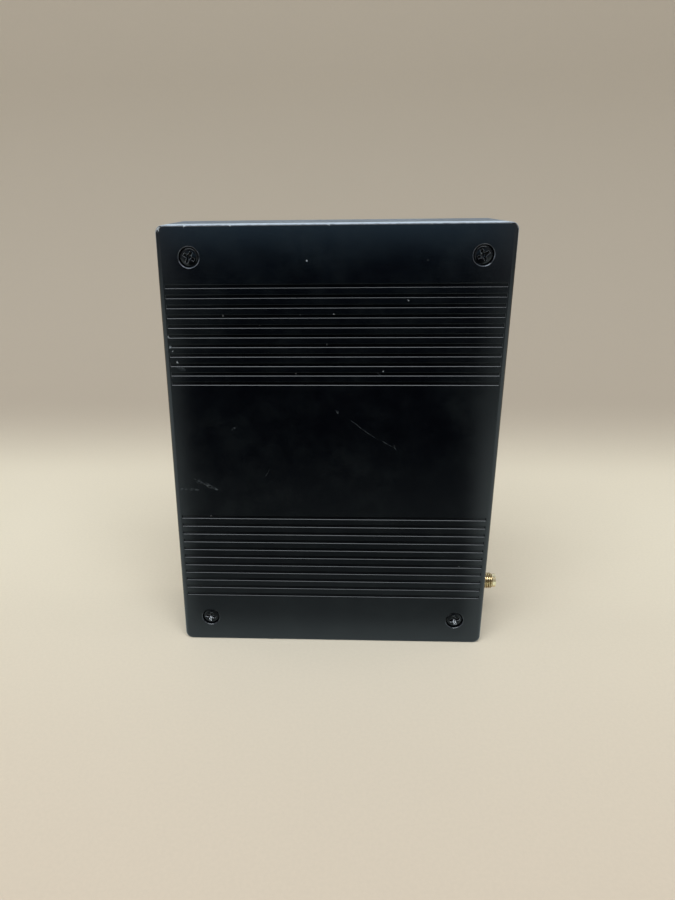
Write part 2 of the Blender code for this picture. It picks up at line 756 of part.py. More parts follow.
def indoor_antenna():
    """The patch antenna: a ground board on four standoffs, and a raised metal patch."""
    board_y = ANTENNA_BOARD_Y + ANTENNA_BOARD_SIZE.y / 2
    board = block_at("antenna_board", (0, board_y, ANTENNA_CENTRE_Z), ANTENNA_BOARD_SIZE)
    below = ANTENNA_BOARD_Y - OVERSHOOT
    through = ANTENNA_BOARD_SIZE.y + 2 * OVERSHOOT
    hole = STANDOFF_RADIUS * 0.6
    starts = [Vector((x, below, z)) for x, z in antenna_corners().values()]
    cut(board, rods("antenna_board_holes", starts, "+Y", hole, through, SMALL_STEPS))
    feed = [Vector((FEED_X, below, ANTENNA_CENTRE_Z))]
    cut(board, rods("feed_hole", feed, "+Y", FEED_HOLE_RADIUS, through, SMALL_STEPS))
    as_part(board, "board_green")
    antenna_standoffs(hole - GAP)
    board_top = ANTENNA_BOARD_Y + ANTENNA_BOARD_SIZE.y
    patch_y = board_top + PATCH_LIFT
    patch_centre = (0, patch_y + PATCH_SIZE.y / 2, ANTENNA_CENTRE_Z)
    patch = block_at("antenna_patch", patch_centre, PATCH_SIZE)
    above = [Vector((FEED_X, patch_y - OVERSHOOT, ANTENNA_CENTRE_Z))]
    patch_through = PATCH_SIZE.y + 2 * OVERSHOOT
    cut(patch, rods("patch_hole", above, "+Y", FEED_HOLE_RADIUS, patch_through, SMALL_STEPS))
    as_part(patch, "patch_copper")
    spacer = plain_pin(PATCH_SPACER_RADIUS, PATCH_LIFT - 2 * GAP)
    spacer_place = (0, board_top + GAP, ANTENNA_CENTRE_Z)
    as_part(turned("patch_spacer", spacer, spacer_place, "+Y", SMALL_STEPS), "nylon_white")
    pin_start = ANTENNA_BOARD_Y - FEED_PIN_STUB
    pin_end = patch_y + PATCH_SIZE.y + FEED_PIN_STUB
    pin = plain_pin(FEED_PIN_RADIUS, pin_end - pin_start)
    pin_place = (FEED_X, pin_start, ANTENNA_CENTRE_Z)
    as_part(turned("antenna_feed_pin", pin, pin_place, "+Y", FINE_STEPS), "gold_plate")


def smooth_route(controls, count):
    """Points on the cubic curve that four control points steer."""
    a, b, c, d = [Vector(point) for point in controls]
    points = []
    for index in range(count):
        t = index / (count - 1)
        s = 1 - t
        points.append(s**3 * a + 3 * s * s * t * b + 3 * s * t * t * c + t**3 * d)
    return points


def coax(name, controls):
    """A round lead along a smooth route, with filled ends."""
    curve = bpy.data.curves.new(name, "CURVE")
    curve.dimensions = "3D"
    curve.bevel_depth = COAX_RADIUS
    curve.bevel_resolution = 2
    curve.use_fill_caps = True
    spline = curve.splines.new("POLY")
    points = smooth_route(controls, COAX_POINTS)
    spline.points.add(len(points) - 1)
    for slot, point in zip(spline.points, points):
        slot.co = (*point, 1)
    lead = bpy.data.objects.new(name, curve)
    PARTS.objects.link(lead)
    lead.parent = ROOT
    curve.materials.append(material("coax_brown"))


def coax_plug(name, place):
    """A miniature press-on coax plug on the front side of the main board."""
    x, z = place
    rim = COAX_PLUG_HEIGHT * 0.25
    profile = [
        (0, COAX_PLUG_HEIGHT),
        (COAX_PLUG_RADIUS - rim, COAX_PLUG_HEIGHT),
        (COAX_PLUG_RADIUS, COAX_PLUG_HEIGHT - rim),
        (COAX_PLUG_RADIUS, 0),
        (0, 0),
    ]
    plug = turned(name, profile, (x, BOARD_FRONT_Y + GAP, z), "+Y", SMALL_STEPS)
    as_part(plug, "gold_plate")


def internal_leads():
    """The two short leads that join the main board to the antenna board and the jack."""
    lead_y = BOARD_FRONT_Y + 1.5 * GAP + COAX_RADIUS
    plug_edge = COAX_PLUG_RADIUS + 2 * GAP
    x, z = ANTENNA_PLUG_PLACE
    coax_plug("antenna_coax_plug", ANTENNA_PLUG_PLACE)
    under_board = ANTENNA_BOARD_Y - GAP - COAX_RADIUS
    board_edge_z = ANTENNA_CENTRE_Z - ANTENNA_BOARD_SIZE.z / 2
    route = (
        (x + plug_edge, lead_y, z),
        (x / 4, lead_y, z),
        (FEED_X, under_board, board_edge_z + 0.006),
        (FEED_X, under_board, ANTENNA_CENTRE_Z - 2 * FEED_HOLE_RADIUS),
    )
    coax("antenna_coax", route)
    x, z = JACK_PLUG_PLACE
    coax_plug("jack_coax_plug", JACK_PLUG_PLACE)
    tail_x = INNER_HALF_WIDTH - GAP - JACK_FLANGE_THICKNESS - JACK_TAIL_LENGTH - GAP
    route = (
        (tail_x, 0, JACK_Z),
        (tail_x - 0.0070, 0, JACK_Z),
        (x + 0.0100, lead_y, z),
        (x + plug_edge, lead_y, z),
    )
    coax("jack_coax", route)


def antenna_jack():
    """The bulkhead jack for the outdoor antenna, its axis along +X."""
    flange_face = INNER_HALF_WIDTH - GAP
    tail_end = flange_face - JACK_FLANGE_THICKNESS - JACK_TAIL_LENGTH
    tip = HALF_WIDTH + JACK_TIP
    total = tip - tail_end
    nose_start = total - JACK_NOSE_LENGTH
    flange_top = flange_face - tail_end
    bore_floor = flange_top + 4 * GAP
    profile = [
        (0, bore_floor),
        (JACK_BORE_RADIUS, bore_floor),
        (JACK_BORE_RADIUS, total),
        (JACK_NOSE_RADIUS, total),
        (JACK_NOSE_RADIUS, nose_start),
        (JACK_THREAD_RADIUS, nose_start - GAP),
        (JACK_THREAD_RADIUS, flange_top),
        (JACK_FLANGE_RADIUS, flange_top),
        (JACK_FLANGE_RADIUS, JACK_TAIL_LENGTH),
        (JACK_TAIL_RADIUS, JACK_TAIL_LENGTH),
        (JACK_TAIL_RADIUS, 0),
        (0, 0),
    ]
    as_part(turned("sma_jack_body", profile, (tail_end, 0, JACK_Z), "+X"), "gold_plate")
    floor_x = tail_end + bore_floor
    length = tip - JACK_RECESS - floor_x - GAP
    insulator = plain_ring(JACK_BORE_RADIUS - GAP, JACK_CONTACT_RADIUS + GAP, length)
    place = (floor_x + GAP, 0, JACK_Z)
    as_part(turned("sma_insulator", insulator, place, "+X", SMALL_STEPS, ring=True), "nylon_white")
    socket_radius = JACK_CONTACT_RADIUS * 0.55
    contact = [
        (0, length - JACK_SOCKET_DEPTH),
        (socket_radius, length - JACK_SOCKET_DEPTH),
        (socket_radius, length),
        (JACK_CONTACT_RADIUS, length),
        (JACK_CONTACT_RADIUS, 0),
        (0, 0),
    ]
    as_part(turned("sma_centre_contact", contact, place, "+X", SMALL_STEPS), "gold_plate")
    clear_radius = JACK_THREAD_RADIUS + GAP
    washer = plain_ring(WASHER_RADIUS, clear_radius, WASHER_THICKNESS)
    washer_place = (HALF_WIDTH + GAP, 0, JACK_Z)
    as_part(turned("sma_lock_washer", washer, washer_place, "+X", ring=True), "gold_plate")
    nut_start = HALF_WIDTH + 2 * GAP + WASHER_THICKNESS
    corner_radius = NUT_ACROSS_FLATS / 2 / math.cos(math.pi / 6)
    nut = rods("sma_nut", [Vector((nut_start, 0, JACK_Z))], "+X", corner_radius, NUT_THICKNESS, 6)
    chamfer(nut, NUT_THICKNESS * 0.1)
    bore_start = [Vector((nut_start - OVERSHOOT, 0, JACK_Z))]
    bore_length = NUT_THICKNESS + 2 * OVERSHOOT
    cut(nut, rods("nut_bore", bore_start, "+X", clear_radius, bore_length))
    as_part(nut, "gold_plate")


def power_inlet():
    """The round low-voltage inlet, flush behind its hole in the side wall."""
    face_x = INNER_HALF_WIDTH - GAP
    low_y = BOARD_FRONT_Y + GAP
    body = block(
        "dc_jack_body",
        (face_x - INLET_SIZE.x, low_y, INLET_Z - INLET_SIZE.z / 2),
        (face_x, low_y + INLET_SIZE.y, INLET_Z + INLET_SIZE.z / 2),
    )
    floor_x = face_x - INLET_BORE_DEPTH
    mouth = [Vector((floor_x, 0, INLET_Z))]
    mouth_length = INLET_BORE_DEPTH + OVERSHOOT
    cut(body, rods("inlet_mouth", mouth, "+X", INLET_BORE_RADIUS, mouth_length))
    as_part(body, "inlet_black")
    pin_length = INLET_BORE_DEPTH - 3 * GAP
    pin = [
        (0, pin_length),
        (INLET_PIN_RADIUS * 0.6, pin_length),
        (INLET_PIN_RADIUS, pin_length - 2 * GAP),
        (INLET_PIN_RADIUS, 0),
        (0, 0),
    ]
    pin_place = (floor_x + GAP, 0, INLET_Z)
    as_part(turned("dc_jack_pin", pin, pin_place, "+X", SMALL_STEPS), "contact_nickel")
    leaf_size = (INLET_BORE_DEPTH - 4 * GAP, 4 * GAP, GAP)
    leaf_z = INLET_Z + INLET_BORE_RADIUS - 2 * GAP
    leaf_centre = (floor_x + INLET_BORE_DEPTH / 2, 0, leaf_z)
    as_part(block_at("dc_jack_contact", leaf_centre, leaf_size), "contact_nickel")


rear_cover()
front_housing()
seam_gasket()
cover_fasteners()
main_board()
for stage_name, stage_z in CAN_CENTRES_Z.items():
    shielded_stage(stage_name, stage_z)
duplexer("low_band", -DUPLEXER_X)
duplexer("high_band", DUPLEXER_X)
power_section()
status_lights()
indoor_antenna()
internal_leads()
antenna_jack()
power_inlet()
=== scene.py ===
"""Desktop cellular signal booster: its finished surfaces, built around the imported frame.

Every operator makes one piece or one group of like pieces, in metres, in the frame's axes:
+Z up, the grooved rear cover towards -Y, the jacks on the +X side.
"""

import json
import math

import bmesh
import bpy
from bpy.props import FloatProperty, FloatVectorProperty, IntProperty, PointerProperty
from bpy.types import NodeSocket, Operator, Panel, PropertyGroup
from mathutils import Matrix, Vector


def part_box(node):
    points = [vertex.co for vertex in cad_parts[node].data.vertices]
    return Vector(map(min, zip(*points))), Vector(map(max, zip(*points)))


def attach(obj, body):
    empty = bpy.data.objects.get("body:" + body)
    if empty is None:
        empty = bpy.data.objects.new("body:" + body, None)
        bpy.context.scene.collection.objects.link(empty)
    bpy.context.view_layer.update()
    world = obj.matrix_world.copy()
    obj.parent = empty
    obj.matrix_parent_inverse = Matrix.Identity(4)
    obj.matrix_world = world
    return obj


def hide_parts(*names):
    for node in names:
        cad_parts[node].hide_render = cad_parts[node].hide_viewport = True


bl_info = {
    "name": "Signal booster",
    "version": (1, 0, 0),
    "blender": (4, 5, 0),
    "location": "3D View > Sidebar > Booster",
    "description": "Models the finished pieces of a desktop cellular signal booster",
    "category": "Object",
}

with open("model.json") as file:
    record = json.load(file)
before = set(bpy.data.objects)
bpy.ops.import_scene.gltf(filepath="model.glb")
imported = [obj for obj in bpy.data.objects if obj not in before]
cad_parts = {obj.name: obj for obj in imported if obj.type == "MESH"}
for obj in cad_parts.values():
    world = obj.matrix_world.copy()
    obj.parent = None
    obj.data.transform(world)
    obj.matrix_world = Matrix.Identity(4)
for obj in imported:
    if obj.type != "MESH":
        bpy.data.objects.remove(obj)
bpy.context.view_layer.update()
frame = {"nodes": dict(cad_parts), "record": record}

TINY = 1e-6
# Radii of the antenna jack's thread, of the holes it goes through, and of the screws' holes
JACK_CREST = 0.003175
JACK_HOLE = 0.003475
SCREW_HOLE = 0.0018
# From the rim of a cover screw's head to its underside
HEAD_DEPTH = 0.0018
CORNERS = ("bottom_left", "bottom_right", "top_left", "top_right")
POSTS = ("lower_left", "lower_right", "upper_left", "upper_right")
STATUS_LIGHTS = ("status_led_1", "status_led_2", "status_led_3")
ROOM_TONE = (0.42, 0.37, 0.30, 1)
# The two ways that round pieces point, and the turn that takes +Z to each
DIRECTIONS = {
    "+X": (Vector((1, 0, 0)), (0, math.pi / 2, 0)),
    "+Y": (Vector((0, 1, 0)), (-math.pi / 2, 0, 0)),
}


# ---------------------------------------------------------------- settings


def length(name, description, default):
    return FloatProperty(
        name=name, description=description, default=default, min=0, unit="LENGTH", precision=5
    )


def power(name, description, default):
    return FloatProperty(
        name=name, description=description, default=default, min=0, unit="POWER"
    )


def colour(name, description, default):
    return FloatVectorProperty(
        name=name, description=description, default=default, size=3, subtype="COLOR", min=0, max=1
    )


class CaseSettings(PropertyGroup):
    corner_radius: length("Corner radius", "Rounding of the case's four corners", 0.0023)
    side_round: length("Side rounding", "Rounding between the rear face and the long sides", 0.0016)
    end_round: length("End rounding", "Rounding between the rear face and the two ends", 0.00045)
    front_round: length("Front rounding", "Rounding around the front face", 0.0014)
    cover_wall: length("Cover wall", "Wall of the rear cover", 0.0024)
    housing_wall: length("Housing wall", "Wall of the front housing", 0.0025)
    groove_count: IntProperty(
        name="Grooves", description="Cooling grooves in each of the two groups", default=11, min=1
    )
    groove_pitch: length("Groove pitch", "Distance from groove to groove", 0.00324)
    groove_top: length("Top margin", "From the top of the case to the first groove", 0.0190)
    groove_bottom: length("Bottom margin", "From the bottom of the case to the last groove", 0.0202)
    groove_width: length("Groove width", "Width of a groove at the surface", 0.0011)
    groove_depth: length("Groove depth", "Depth of a groove", 0.0005)
    groove_end: length("Groove end", "From the side of the case to a groove's end", 0.0021)
    cover_black: colour("Cover", "Satin coat of the rear cover", (0.0010, 0.0013, 0.0024))
    housing_black: colour("Housing", "Moulded plastic of the housing", (0.0030, 0.0031, 0.0036))


class FastenerSettings(PropertyGroup):
    counterbore_radius: length("Counterbore radius", "Radius of the holes the heads sit in", 0.0032)
    head_radius: length("Head radius", "Radius of a cover screw's head", 0.0029)
    head_raised: length("Head crown", "How far a head's crown stands above its rim", 0.00012)
    shank_radius: length("Shank radius", "Radius of a cover screw over its thread", 0.0015)
    thread_pitch: length("Thread pitch", "Pitch of the cover screws", 0.0005)


class JackSettings(PropertyGroup):
    thread_pitch: length("Thread pitch", "Pitch of the jack's outer thread", 0.0007056)
    thread_depth: length("Thread depth", "Depth of the jack's outer thread", 0.00038)
    nose_length: length("Nose length", "Plain end past the thread", 0.0013)
    gold: colour("Gold", "Gold plating", (0.90, 0.78, 0.52))


class StageSettings(PropertyGroup):
    floor_colour: colour("Floor", "Plain pale floor near the camera", (0.575, 0.470, 0.360))
    # painted light: the floor round the booster is painted brighter as a pool of light, and the
    # backdrop darker as shade
    lit_middle_colour: colour("Middle", "Brighter floor around the booster", (0.74, 0.66, 0.52))
    shaded_backdrop_colour: colour("Backdrop", "Backdrop that rises behind the floor", (0.43, 0.36, 0.28))
    overhead_power: power("Overhead light", "Power of the soft light overhead", 13.5)
    fill_power: power("Fill light", "Power of the soft lights at the sides", 1.6)
    camera_place: FloatVectorProperty(
        name="Camera", description="Where the camera stands", default=(-0.00239, -0.24570, 0.16304),
        subtype="TRANSLATION", unit="LENGTH",
    )
    camera_turn: FloatVectorProperty(
        name="Camera turn", description="Turn to the left, look down, and roll",
        default=(math.radians(2.758), math.radians(20.335), math.radians(-0.683)), subtype="EULER",
    )
    camera_lens: FloatProperty(
        name="Lens", description="Focal length of the camera, in millimetres", default=27.6, min=1
    )
    camera_shift: FloatProperty(
        name="Shift", description="Sideways shift of the camera's frame", default=0.0470
    )


# ---------------------------------------------------------------- modelling helpers


def start_piece(name, add, **settings):
    """Adds one primitive with nothing else selected, and puts its place into its mesh."""
    bpy.ops.object.select_all(action="DESELECT")
    add(**settings)
    piece = bpy.context.active_object
    piece.name = name
    piece.data.name = name
    bpy.ops.object.transform_apply(location=True, rotation=True, scale=True)
    return piece


def start_block(name, low, high):
    low = Vector(low)
    high = Vector(high)
    cube = bpy.ops.mesh.primitive_cube_add
    return start_piece(name, cube, size=1, location=(low + high) / 2, scale=high - low)


def make_active(piece):
    bpy.ops.object.select_all(action="DESELECT")
    piece.select_set(True)
    bpy.context.view_layer.objects.active = piece


def edit(piece):
    make_active(piece)
    bpy.ops.object.mode_set(mode="EDIT")


def leave_edit():
    bpy.ops.object.mode_set(mode="OBJECT")


def pick(piece, kind, test):
    """In edit mode, selects the vertices, edges or faces that pass a test."""
    bpy.ops.mesh.select_mode(type=kind)
    bpy.ops.mesh.select_all(action="DESELECT")
    cage = bmesh.from_edit_mesh(piece.data)
    items = {"VERT": cage.verts, "EDGE": cage.edges, "FACE": cage.faces}[kind]
    found = [item for item in items if test(item)]
    for item in found:
        item.select_set(True)
    cage.select_flush_mode()
    bmesh.update_edit_mesh(piece.data)
    if not found:
        raise RuntimeError(f"{piece.name}: nothing was selected")


def round_edges(piece, test, width, segments):
    """Rounds the edges of a piece that pass a test."""
    edit(piece)
    pick(piece, "EDGE", test)
    bpy.ops.mesh.bevel(offset=width, segments=segments, profile=0.5, affect="EDGES")
    leave_edit()


def runs_deep(edge):
    """Whether an edge runs along Y."""
    return abs(edge.verts[0].co.y - edge.verts[1].co.y) > TINY


def push(offset):
    bpy.ops.mesh.extrude_region_move(TRANSFORM_OT_translate={"value": tuple(offset)})


def apply_modifier(piece, modifier):
    make_active(piece)
    bpy.ops.object.modifier_apply(modifier=modifier.name)


def combine(piece, tool, operation):
    """Cuts a tool out of a piece, joins it on, or keeps what they share. The tool goes."""
    modifier = piece.modifiers.new("combine", "BOOLEAN")
    modifier.operation = operation
    modifier.solver = "EXACT"
    modifier.object = tool
    apply_modifier(piece, modifier)
    bpy.data.objects.remove(tool)


def copy_of(piece, name):
    """A copy with its own mesh."""
    twin = piece.copy()
    twin.data = piece.data.copy()
    twin.name = name
    bpy.context.scene.collection.objects.link(twin)
    return twin


def move_mesh(piece, matrix):
    piece.data.transform(matrix)
    piece.data.update()


def turned(name, place, along, stations, segments=48, ring=False):
    """A round piece drawn out along an axis, through stations of distance and radius.

    A ring's last station meets its first, and the two are merged."""
    direction, turn = DIRECTIONS[along]
    place = Vector(place)
    distance, radius = stations[0]
    piece = start_piece(
        name,
        bpy.ops.mesh.primitive_circle_add,
        vertices=segments,
        radius=radius,
        fill_type="NOTHING" if ring else "NGON",
        location=place + direction * distance,
        rotation=turn,
    )
    edit(piece)
    bpy.ops.mesh.select_all(action="SELECT")
    for next_distance, next_radius in stations[1:]:
        push(direction * (next_distance - distance))
        if abs(next_radius - radius) > TINY / 10:
            bpy.ops.transform.resize(
                value=[next_radius / radius] * 3,
                center_override=place + direction * next_distance,
            )
        distance = next_distance
        radius = next_radius
    bpy.ops.mesh.select_all(action="SELECT")
    if ring:
        bpy.ops.mesh.remove_doubles(threshold=TINY)
    bpy.ops.mesh.normals_make_consistent(inside=False)
    leave_edit()
    return piece


def join_round(piece, *outline, **settings):
    """Joins a round shape onto a piece. Its place, way and stations are as for turned."""
    combine(piece, turned("round_tool", *outline, **settings), "UNION")


def cut_round(piece, *outline, **settings):
    """Cuts a round shape out of a piece."""
    combine(piece, turned("round_tool", *outline, **settings), "DIFFERENCE")


def thread_ridge(name, place, along, root, crest, pitch, turns, steps=40):
    """A closed ridge that winds along an axis as a screw thread."""
    ridge = start_piece(name, bpy.ops.mesh.primitive_plane_add, size=1)
    corners = sorted(ridge.data.vertices, key=lambda vertex: (vertex.co.y, vertex.co.x))
    bury = (crest - root) * 0.3
    section = ((root - bury, -0.48), (crest, -0.08), (root - bury, 0.48), (crest, 0.08))
    for corner, (radius, height) in zip(corners, section):
        corner.co = (radius, 0, height * pitch)
    edit(ridge)
    bpy.ops.mesh.select_all(action="SELECT")
    bpy.ops.mesh.delete(type="ONLY_FACE")
    leave_edit()
    wind = ridge.modifiers.new("wind", "SCREW")
    wind.axis = "Z"
    wind.steps = steps
    wind.render_steps = steps
    wind.iterations = turns
    wind.screw_offset = pitch
    wind.merge_threshold = TINY
    apply_modifier(ridge, wind)
    edit(ridge)
    bpy.ops.mesh.select_mode(type="VERT")
    bpy.ops.mesh.select_all(action="SELECT")
    bpy.ops.mesh.fill_holes(sides=4)
    bpy.ops.mesh.select_all(action="SELECT")
    bpy.ops.mesh.normals_make_consistent(inside=False)
    leave_edit()
    turn = Matrix.Identity(4)
    for angle, axis in zip(DIRECTIONS[along][1], "XYZ"):
        turn = Matrix.Rotation(angle, 4, axis) @ turn
    move_mesh(ridge, Matrix.Translation(place) @ turn)
    return ridge


def dress(piece, slot):
    piece.data.materials.clear()
    piece.data.materials.append(LOOKS[slot])


def finish_piece(piece, slot, *nodes, angle=32):
    """Smooths a piece's round stretches, gives it its finish and ties it to the frame.

    Large flat faces keep their own normals."""
    make_active(piece)
    bpy.ops.object.shade_smooth_by_angle(angle=math.radians(angle))
    modifier = piece.modifiers.new("flat faces first", "WEIGHTED_NORMAL")
    modifier.mode = "FACE_AREA"
    modifier.keep_sharp = True
    apply_modifier(piece, modifier)
    dress(piece, slot)
    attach(piece, "root")
    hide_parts(*nodes)


def middle(node):
    low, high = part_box(node)
    return (low + high) / 2


def round_box(node):
    """For a node that is round about X: where its axis starts, its length and its radius."""
    low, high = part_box(node)
    centre = (low + high) / 2
    return Vector((low.x, centre.y, centre.z)), high.x - low.x, (high.z - low.z) / 2


# ---------------------------------------------------------------- node helpers


def give(tree, node, inputs):
    """Feeds a node's inputs, each with a value or from a socket."""
    for key, value in inputs.items():
        if isinstance(value, NodeSocket):
            tree.links.new(value, node.inputs[key])
        else:
            node.inputs[key].default_value = value


def make(tree, kind, inputs=None, **properties):
    """Adds a node, sets its properties and feeds its inputs."""
    made = tree.nodes.new(kind)
    for key, value in properties.items():
        setattr(made, key, value)
    give(tree, made, inputs or {})
    return made


def maths(tree, operation, first, second=0.0, third=0.0, clamp=False):
    inputs = {0: first, 1: second, 2: third}
    made = make(tree, "ShaderNodeMath", inputs, operation=operation, use_clamp=clamp)
    return made.outputs[0]


def gather(tree, operation, values):
    """Joins any number of values by one operation."""
    total = values[0]
    for value in values[1:]:
        total = maths(tree, operation, total, value)
    return total


def product(tree, *values):
    return gather(tree, "MULTIPLY", values)


def ramp(tree, value, start, end, low=0.0, high=1.0):
    """Takes a value from one range to another, smoothly and clamped."""
    inputs = {"Value": value, "From Min": start, "From Max": end, "To Min": low, "To Max": high}
    return make(tree, "ShaderNodeMapRange", inputs, interpolation_type="SMOOTHSTEP").outputs[0]


def blend_colour(tree, amount, first, second):
    ends = [tone if isinstance(tone, NodeSocket) else (*tone[:3], 1) for tone in (first, second)]
    inputs = {0: amount, 6: ends[0], 7: ends[1]}
    return make(tree, "ShaderNodeMix", inputs, data_type="RGBA").outputs[2]


def layers(tree, base, *coats):
    """Lays colours over a base one after another, each by a share of its mask."""
    for mask, share, over in coats:
        base = blend_colour(tree, product(tree, mask, share), base, over)
    return base


def mix_shaders(tree, amount, first, second):
    inputs = {0: amount, 1: first.outputs[0], 2: second.outputs[0]}
    return make(tree, "ShaderNodeMixShader", inputs)


def object_place(tree):
    return make(tree, "ShaderNodeTexCoord").outputs["Object"]


def parts_of(tree, vector=None):
    """The X, Y and Z of a vector, or of the place on the object."""
    if vector is None:
        vector = object_place(tree)
    return make(tree, "ShaderNodeSeparateXYZ", {"Vector": vector}).outputs


def vector_of(tree, first, second, third=0.0):
    return make(tree, "ShaderNodeCombineXYZ", {"X": first, "Y": second, "Z": third}).outputs[0]


def length_of(tree, first, second, third=0.0):
    """The length of the vector that has these three parts."""
    inputs = {0: vector_of(tree, first, second, third)}
    return make(tree, "ShaderNodeVectorMath", inputs, operation="LENGTH").outputs["Value"]


def reach_from(tree, first, second, centre):
    """How far two of a place's parts are from a centre."""
    offsets = [maths(tree, "SUBTRACT", part, at) for part, at in zip((first, second), centre)]
    return length_of(tree, *offsets)


def noise(tree, scale, detail, vector=None, **inputs):
    """Noise over a vector, or over the place on the object."""
    if vector is None:
        vector = object_place(tree)
    inputs.update({"Vector": vector, "Scale": scale, "Detail": detail})
    return make(tree, "ShaderNodeTexNoise", inputs).outputs["Fac"]


def noise_along(tree, way, scale, detail):
    """Noise that changes along one value only."""
    inputs = {"W": way, "Scale": scale, "Detail": detail}
    return make(tree, "ShaderNodeTexNoise", inputs, noise_dimensions="1D").outputs["Fac"]


def new_group(name, inputs, *outputs):
    """An empty node group with named inputs and outputs, and its two end nodes."""
    tree = bpy.data.node_groups.new(name, "ShaderNodeTree")
    for label, default in inputs.items():
        kind = "NodeSocketVector" if isinstance(default, tuple) else "NodeSocketFloat"
        socket = tree.interface.new_socket(name=label, in_out="INPUT", socket_type=kind)
        socket.default_value = default
    for label in outputs:
        tree.interface.new_socket(name=label, in_out="OUTPUT", socket_type="NodeSocketFloat")
    source = tree.nodes.new("NodeGroupInput")
    result = tree.nodes.new("NodeGroupOutput")
    return tree, source.outputs, result.inputs


def use_group(tree, name, **inputs):
    """Places a node group in a material, with its own values."""
    placed = tree.nodes.new("ShaderNodeGroup")
    placed.node_tree = bpy.data.node_groups[name]
    give(tree, placed, {key.replace("_", " "): value for key, value in inputs.items()})
    return placed.outputs


def group_grain():
    """Fine even grain, as of a sprayed coat or a moulded skin."""
    tree, given, result = new_group("grain", {"Size": 0.0003, "Softness": 0.5}, "Height", "Shade")
    place = object_place(tree)
    scale = maths(tree, "DIVIDE", 1.0, given["Size"])
    fine = noise(tree, scale, 2.0, place, Roughness=given["Softness"])
    wide = noise(tree, product(tree, scale, 0.21), 1.0, place)
    tree.links.new(maths(tree, "MULTIPLY_ADD", wide, 0.35, fine), result["Height"])
    tree.links.new(ramp(tree, fine, 0.3, 0.7), result["Shade"])


def group_clouds():
    """Broad soft patches, for handled and dusty areas."""
    tree, given, result = new_group("clouds", {"Size": 0.03, "Sharpness": 0.25}, "Mask")
    patches = noise(tree, maths(tree, "DIVIDE", 1.0, given["Size"]), 5.0, Roughness=0.6)
    low = maths(tree, "SUBTRACT", 0.5, given["Sharpness"])
    high = maths(tree, "ADD", 0.5, given["Sharpness"])
    tree.links.new(ramp(tree, patches, low, high), result["Mask"])


def group_edge_wear():
    """Rubbed edges: where the surface turns sharply, broken up into patches."""
    inputs = {"Radius": 0.0004, "Amount": 0.5, "Patch": 0.002}
    tree, given, result = new_group("edge wear", inputs, "Mask")
    rounded = make(tree, "ShaderNodeBevel", {"Radius": given["Radius"]}, samples=6)
    normal = make(tree, "ShaderNodeNewGeometry").outputs["Normal"]
    inputs = {0: rounded.outputs["Normal"], 1: normal}
    likeness = make(tree, "ShaderNodeVectorMath", inputs, operation="DOT_PRODUCT")
    turn = ramp(tree, likeness.outputs["Value"], 0.995, 0.90)
    patches = noise(tree, maths(tree, "DIVIDE", 1.0, given["Patch"]), 6.0, Roughness=0.65)
    limit = maths(tree, "MULTIPLY_ADD", given["Amount"], -0.5, 0.85)
    broken = ramp(tree, patches, limit, maths(tree, "ADD", limit, 0.10))
    tree.links.new(maths(tree, "MULTIPLY", turn, broken, clamp=True), result["Mask"])


def group_specks():
    """Scattered small specks of dust and chipped coat."""
    inputs = {"Spacing": 0.004, "Size": 0.12, "Share": 0.3}
    tree, given, result = new_group("specks", inputs, "Mask")
    inputs = {"Vector": object_place(tree), "Scale": maths(tree, "DIVIDE", 1.0, given["Spacing"])}
    cells = make(tree, "ShaderNodeTexVoronoi", inputs).outputs
    chance = make(tree, "ShaderNodeSeparateColor", {"Color": cells["Color"]}).outputs
    size = product(tree, given["Size"], chance["Green"])
    dot = maths(tree, "LESS_THAN", cells["Distance"], size)
    kept = maths(tree, "LESS_THAN", chance["Red"], given["Share"])
    tree.links.new(product(tree, dot, kept), result["Mask"])


def group_scuff():
    """One rubbed mark: a long soft patch at a place, turned about Y and broken into streaks."""
    inputs = {"Centre": (0, 0, 0), "Turn": 0.0}
    inputs.update({"Half length": 0.005, "Half width": 0.001, "Streak": 0.0004})
    tree, given, result = new_group("scuff", inputs, "Mask")
    place = object_place(tree)
    inputs = {0: place, 1: given["Centre"]}
    offset = make(tree, "ShaderNodeVectorMath", inputs, operation="SUBTRACT").outputs[0]
    inputs = {"Vector": offset, "Angle": given["Turn"]}
    laid = make(tree, "ShaderNodeVectorRotate", inputs, rotation_type="Y_AXIS").outputs[0]
    parts = parts_of(tree, laid)
    run = maths(tree, "DIVIDE", parts["X"], given["Half length"])
    across = maths(tree, "DIVIDE", parts["Z"], given["Half width"])
    deep = maths(tree, "DIVIDE", parts["Y"], 0.002)
    body = ramp(tree, length_of(tree, run, across, deep), 1.0, 0.35)
    thin = maths(tree, "DIVIDE", parts["Z"], given["Streak"])
    long = maths(tree, "DIVIDE", parts["X"], product(tree, given["Streak"], 9.0))
    streaks = ramp(tree, noise(tree, 1.0, 3.0, vector_of(tree, long, thin)), 0.42, 0.62)
    gaps = ramp(tree, noise(tree, 1300.0, 2.0, place), 0.40, 0.60, 0.12, 1.0)
    tree.links.new(product(tree, streaks, gaps, body), result["Mask"])


def group_turning_marks():
    """Fine rings left by a lathe round the X axis of the jack."""
    tree, given, result = new_group("turning marks", {"Pitch": 0.00008}, "Height", "Shade")
    along = maths(tree, "DIVIDE", parts_of(tree)["X"], given["Pitch"])
    rings = noise_along(tree, along, 1.0, 2.0)
    tree.links.new(rings, result["Height"])
    tree.links.new(ramp(tree, rings, 0.3, 0.7), result["Shade"])


# ---------------------------------------------------------------- materials


